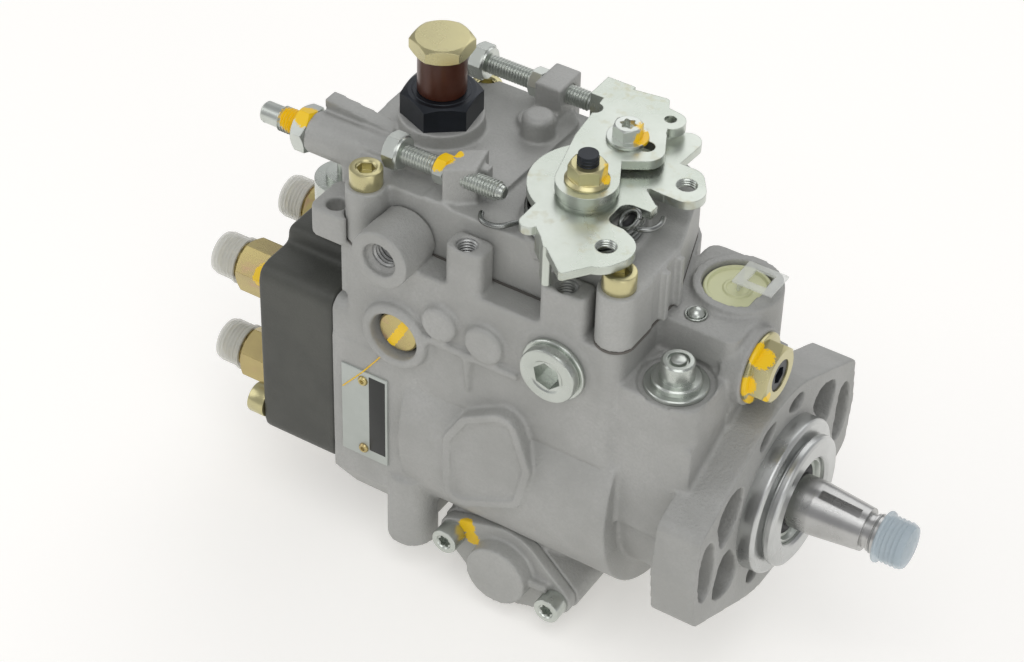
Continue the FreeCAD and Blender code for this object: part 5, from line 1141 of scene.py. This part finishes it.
@dataclass
class Plugs:
    """Plugs, washers, the ball and the transport plug on the housing."""

    side: Point = (-55.0, -40.5, 51.0)
    stub: Point = (-22.7, -27.0, 50.5)
    ball: Point = (-26.3, -11.0, 64.0)
    inlet: Point = (-22.0, 6.0, 62.3)
    port: Flat = (-109.5, 38.0)

    def side_plug(self) -> None:
        """Socket plug with its washer."""
        x, y, z = self.side
        washers = [revolve("side_ring", [(0, 6.3), (0, 10.0), (0.3, 10.3), (1.2, 10.3), (1.5, 10.0), (1.5, 6.3)],
                           Axis.Y, self.side, True),
                   revolve("stub_ring", [(0, 4.1), (0, 9.2), (0.3, 9.5), (1.2, 9.5), (1.5, 9.2), (1.5, 4.1)],
                           Axis.Z, self.stub)]
        finish_piece(joined("plug_rings", washers), ZINC, "pump", ["plug_washers"])
        head = revolve("side_head", [(-8.0, 0), (-8.0, 6.2), (0, 6.2), (0, 9.0), (0.3, 9.2), (2.6, 9.2), (3.2, 8.9),
                                     (3.5, 8.3), (3.5, 5.6), (3.1, 5.0), (3.1, 0)], Axis.Z, (0, 0, 0), steps=64)
        deselect()
        bpy.ops.mesh.primitive_cylinder_add(vertices=6, radius=8.0 / math.sqrt(3) * MM, depth=7.0 * MM,
                                            location=(0, 0, 2.6 * MM))
        boolean(head, bpy.context.active_object, "DIFFERENCE")
        settle(head, stand((x, y - 1.5, z), Axis.Y, True, 12))
        tidy_mesh(head, 28)
        finish_piece(head, ZINC, "pump", ["side_plug"])

    def stub_plug(self) -> None:
        """Stepped stub with a groove round its middle pin."""
        profile = [(-6.5, 0), (-6.5, 4.0), (1.5, 4.0), (1.5, 7.4), (3.0, 7.5), (3.5, 7.0), (3.5, 5.2), (9.0, 5.0),
                   (9.5, 4.5), (9.5, 3.3), (8.5, 3.1), (8.5, 2.5), (9.7, 2.3), (10.0, 1.8), (10.0, 0)]
        finish_piece(revolve("stub_body", profile, Axis.Z, self.stub), ZINC, "pump", ["stub_plug"])

    def ball_plug(self) -> None:
        """Pressed ball with its peened ring."""
        ball = [(-3.5, 0), (-3.5, 2.6)]
        ball += [(2.5 * math.sin(angle) - 0.3, 2.5 * math.cos(angle))
                 for angle in (step * math.pi / 16 for step in range(8))] + [(2.2, 0)]
        ring = [(-1.0, 2.7), (-1.0, 3.3), (0.25, 3.3), (0.4, 3.1), (0.1, 2.7)]
        pieces = [revolve("ball_round", ball, Axis.Z, self.ball), revolve("ball_ring", ring, Axis.Z, self.ball)]
        finish_piece(joined("pressed_ball", pieces), ZINC, "pump", ["ball_plug"])

    def inlet_plug(self) -> None:
        """Cream transport plug with its clear pull tab."""
        disc = [(-9.0, 0), (-9.0, 7.8), (0, 7.97), (0, 9.8), (0.4, 10.3), (1.8, 10.3), (2.3, 9.9), (2.3, 9.1),
                (1.5, 8.7), (1.5, 4.6), (1.9, 4.2), (1.9, 3.6), (1.5, 3.2), (1.5, 0)]
        finish_piece(revolve("inlet_disc", disc, Axis.Z, self.inlet), CREAM, "pump", ["inlet_plug"])
        x, y, z = self.inlet
        tab = block_between("pull_tab", (x, y - 5.0, z + 7.1), (x + 13.0, y + 6.0, z + 8.0), 0.3)
        window = block_between("tab_window", (x + 3.6, y - 2.6, z + 5.0), (x + 10.0, y + 3.6, z + 10.0))
        boolean(tab, window, "DIFFERENCE")
        stem = block_between("tab_stem", (x, y - 1.2, z + 1.2), (x + 0.8, y + 2.0, z + 7.6), 0.2)
        tidy_mesh(tab, 30)
        finish_piece(joined("pull_tab", [tab, stem]), CLEAR_TAB, "pump")

    def pivots(self) -> None:
        """The two pivot plugs, and a black ring of painted shade inside the port round the near one."""
        x, z = self.port
        near = [revolve("pivot_near", [(0, 0), (0, 6.3), (0.4, 6.8), (3.6, 6.8), (3.6, 7.4), (11.0, 7.4), (11.0, 2.5),
                                       (30.0, 2.5), (30.0, 0)], Axis.Y, (x, -39.9, z)),
                revolve("pivot_far", [(0, 0), (0, 7.0), (0.5, 7.5), (9.0, 7.5), (9.0, 2.5), (36.0, 2.5), (36.0, 0)],
                        Axis.Y, (x, 35.0, z), True)]
        painted = marked(ROSE_GOLD, "rose_gold_stroke", *[
            (x + 2.9 - 0.73 * step, -39.9, z + 4.6 - 1.3 * step, 1.5) for step in range(8)])
        finish_piece(joined("pivot_discs", near), painted, "pump", ["pivot_plugs"])
        # Thin black rubber ring in the port behind the near plug: painted shade for the dark inside of the port.
        shade = revolve("pivot_painted_shade", [(0, 6.9), (0, 8.15), (0.3, 8.15), (0.3, 6.9)], Axis.Y, (x, -37.6, z))
        finish_piece(shade, RUBBER, "pump")
        scribble = wire("paint_line", [(x - 4.0, -41.6, z - 8.6), (x - 7.0, -40.35, z - 13.5),
                                       (x - 10.0, -40.3, z - 17.5), (x - 12.5, -41.15, z - 21.0),
                                       (x - 19.6, -41.1, z - 29.5)], 0.22)
        finish_piece(scribble, YELLOW, "pump")

    def holes(self) -> None:
        """Threads of the tapped holes that show."""
        taps = [tapped("rear_post_thread", 3.2, 1.0, 12.0, Axis.Z, (-88.2, -36.0, 78.0), True),
                tapped("front_post_thread", 3.2, 1.0, 12.0, Axis.Z, (-54.8, -36.0, 78.0), True),
                tapped("boss_thread", 4.0, 1.25, 9.5, Axis.Y, (-111.5, -44.0, 69.0))]
        finish_piece(joined("tapped_holes", taps), CAST_PAD, "pump")

    def build(self) -> None:
        """Make the plugs in turn."""
        self.side_plug()
        self.stub_plug()
        self.ball_plug()
        self.inlet_plug()
        self.pivots()
        self.holes()


@dataclass
class Plate:
    """The bare plate on the near side, with a plain dark band and two rivets."""

    low: Flat = (-129.7, -17.1)
    high: Flat = (-112.9, 17.6)
    band_low: Flat = (-119.5, -13.5)
    band_high: Flat = (-113.6, 16.4)
    rivets: Flat = (14.0, -13.5)
    rivet_x: float = -121.6

    def build(self) -> None:
        """Make the plate, its band and its rivets."""
        sheet = block_between("plate_sheet", (self.low[0], -41.0, self.low[1]), (self.high[0], -40.0, self.high[1]),
                              0.25)
        finish_piece(sheet, PLATE, "pump", ["nameplate"])
        band = block_between("plate_band", (self.band_low[0], -41.05, self.band_low[1]),
                             (self.band_high[0], -40.6, self.band_high[1]), 0.02)
        finish_piece(band, BAND, "pump")
        rivets = [revolve(f"plate_rivet_{i}", [(0, 0), (0, 1.7), (0.45, 1.65), (0.85, 1.3), (0.85, 0.75), (0.3, 0.7),
                                               (0.3, 0)], Axis.Y, (self.rivet_x, -41.0, z), True)
                  for i, z in enumerate(self.rivets)]
        finish_piece(joined("plate_rivets", rivets), ROSE_GOLD, "pump", ["nameplate_rivets"])


@dataclass
class DriveEnd:
    """The shaft's thread and cap, its seal, and the governor's locknut above the flange."""

    thread_start: float = 32.6
    thread_end: float = 42.4
    nut_y: float = -7.0
    nut_z: float = 50.51

    def build(self) -> None:
        """Make the pieces of the drive end."""
        ridges = threaded("shaft_ridges", 6.35, 1.5, self.thread_end - self.thread_start - 0.2, Axis.X,
                          (self.thread_start, 0, 0), core=5.0)
        finish_piece(ridges, GROUND, "shaft")
        ribs = ribbed(2.2, 6.8, 1.5, 7.1, 7.4, 1.0)
        cap = revolve("thread_cap", [(0, 6.6), (0, 8.0), (0.5, 8.2), (1.1, 8.0), (1.5, 7.2), *ribs, (8.2, 7.1),
                                     (9.1, 6.6), (9.4, 5.6), (9.4, 0), (8.6, 0), (8.6, 5.6), (8.0, 6.4),
                                     (1.5, 6.6)], Axis.X, (35.2, 0, 0))
        finish_piece(cap, CLEAR_BLUE, "shaft", ["shaft_cap"])
        case = revolve("seal_case", [(2.6, 14.0), (7.6, 14.0), (7.8, 13.7), (7.8, 12.9), (7.2, 12.6), (6.2, 12.3),
                                     (6.2, 11.4), (2.6, 11.4)], Axis.X, (0, 0, 0), steps=72)
        finish_piece(case, ZINC, "pump")
        lip = revolve("seal_lip", [(4.2, 11.5), (6.0, 11.5), (6.3, 10.4), (7.0, 9.6), (6.9, 8.6), (5.2, 8.55),
                                   (4.2, 9.4)], Axis.X,
                      (0, 0, 0), steps=72)
        finish_piece(lip, RUBBER, "pump", ["shaft_seal"])
        centre = (self.nut_y, self.nut_z)
        nut = [hexagon("governor_nut_hex", 17.0, 5.4, Axis.X, (-5.4, *centre), bore=5.05, turn=17),
               revolve("governor_nut_flange", [(0, 5.05), (0, 10.7), (0.5, 11.0), (1.2, 10.9), (1.6, 10.2),
                                               (1.6, 5.05)], Axis.X, (-7.0, *centre), steps=64)]
        painted = marked(GOLD, "governor_nut_marked", (-4.0, -12.0, 60.0, 4.2), (-6.0, -17.5, 51.0, 3.4),
                         (-5.5, -14.0, 44.0, 3.0), (-0.2, -14.0, 47.0, 1.8))
        finish_piece(joined("governor_nut", nut), painted, "pump", ["governor_locknut"])


@dataclass
class Studio:
    """Floor, lamps and the camera of the photograph."""

    azimuth: float = 31.143
    elevation: float = 40.153
    roll: float = 1.788
    distance: float = 867.39
    target: Point = (-99.556, 8.944, 9.099)
    lens: float = 97.36
    floor_z: float = -59.0

    def camera(self) -> None:
        """Place the camera."""
        lens = bpy.data.cameras.new("view")
        lens.lens = self.lens
        lens.sensor_width = 36.0
        lens.clip_start = 0.01
        turn, rise, roll = (math.radians(value) for value in (self.azimuth, self.elevation, self.roll))
        back = Vector((math.sin(turn) * math.cos(rise), -math.cos(turn) * math.cos(rise), math.sin(rise)))
        right = Vector((math.cos(turn), math.sin(turn), 0.0))
        over = back.cross(right)
        side = math.cos(roll) * right + math.sin(roll) * over
        over = -math.sin(roll) * right + math.cos(roll) * over
        eye = bpy.data.objects.new("view", lens)
        bpy.context.collection.objects.link(eye)
        place = Matrix((side, over, back)).transposed().to_4x4()
        place.translation = (Vector(self.target) + back * self.distance) * MM
        eye.matrix_world = place
        bpy.context.scene.camera = eye

    def floor(self) -> None:
        """Lay the pale floor."""
        deselect()
        bpy.ops.mesh.primitive_plane_add(size=8.0, location=(0, 0, self.floor_z * MM))
        ground = bpy.context.active_object
        ground.name = "floor"
        paper = bpy.data.materials.new("floor_paper")
        paper.use_nodes = True
        shader = paper.node_tree.nodes["Principled BSDF"]
        shader.inputs["Base Color"].default_value = (0.8, 0.79, 0.765, 1)
        shader.inputs["Roughness"].default_value = 0.9
        shader.inputs["Specular IOR Level"].default_value = 0.1
        shader.inputs["Emission Color"].default_value = (1.0, 0.985, 0.955, 1)
        shader.inputs["Emission Strength"].default_value = 0.35
        ground.data.materials.append(paper)

    def lamps(self) -> None:
        """Hang the soft lamps and set the surrounding light."""
        for name, place, size, power in (
            ("key", (0.25, -0.55, 1.1), 0.9, 4.6),
            ("left", (-1.0, -0.45, 0.6), 0.8, 2.5),
            ("back", (-0.2, 0.9, 0.8), 1.0, 3.5),
            ("front", (0.9, -0.7, 0.25), 0.6, 1.5),
        ):
            light = bpy.data.lights.new(name, "AREA")
            light.size = size
            light.energy = power
            lamp = bpy.data.objects.new(name, light)
            bpy.context.collection.objects.link(lamp)
            lamp.location = place
            aim = Vector((-0.08, 0.0, 0.02)) - Vector(place)
            lamp.rotation_euler = aim.to_track_quat("-Z", "Y").to_euler()
        world = bpy.data.worlds.new("studio")
        world.use_nodes = True
        shade = world.node_tree.nodes["Background"]
        shade.inputs["Color"].default_value = (0.97, 0.97, 1.0, 1)
        shade.inputs["Strength"].default_value = 0.42
        bpy.context.scene.world = world
        bpy.context.scene.view_settings.view_transform = "Standard"


def main() -> None:
    """Dress the frame, then set the studio round it."""
    logging.basicConfig(level=logging.INFO)
    FRAME.update(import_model())
    slots = {entry["node"]: entry["material_slot"] for entry in FRAME["record"]["subparts"]}
    for name, item in FRAME["nodes"].items():
        item.data.materials.clear()
        item.data.materials.append(FINISHES[slots[name]].material())
    for name in ("control_lever", "adjust_lever"):
        FRAME["nodes"][name].data.materials[0] = LEVER_ZINC.material()
    for assembly in (Castings(), Outlets(), Fasteners(), Adjusters(), Overflow(), Throttle(), Springs(), Plugs(),
                     Plate(), DriveEnd()):
        LOG.info("building %s", type(assembly).__name__)
        assembly.build()
    studio = Studio()
    studio.camera()
    studio.floor()
    studio.lamps()


if __name__ == "__main__":
    main()
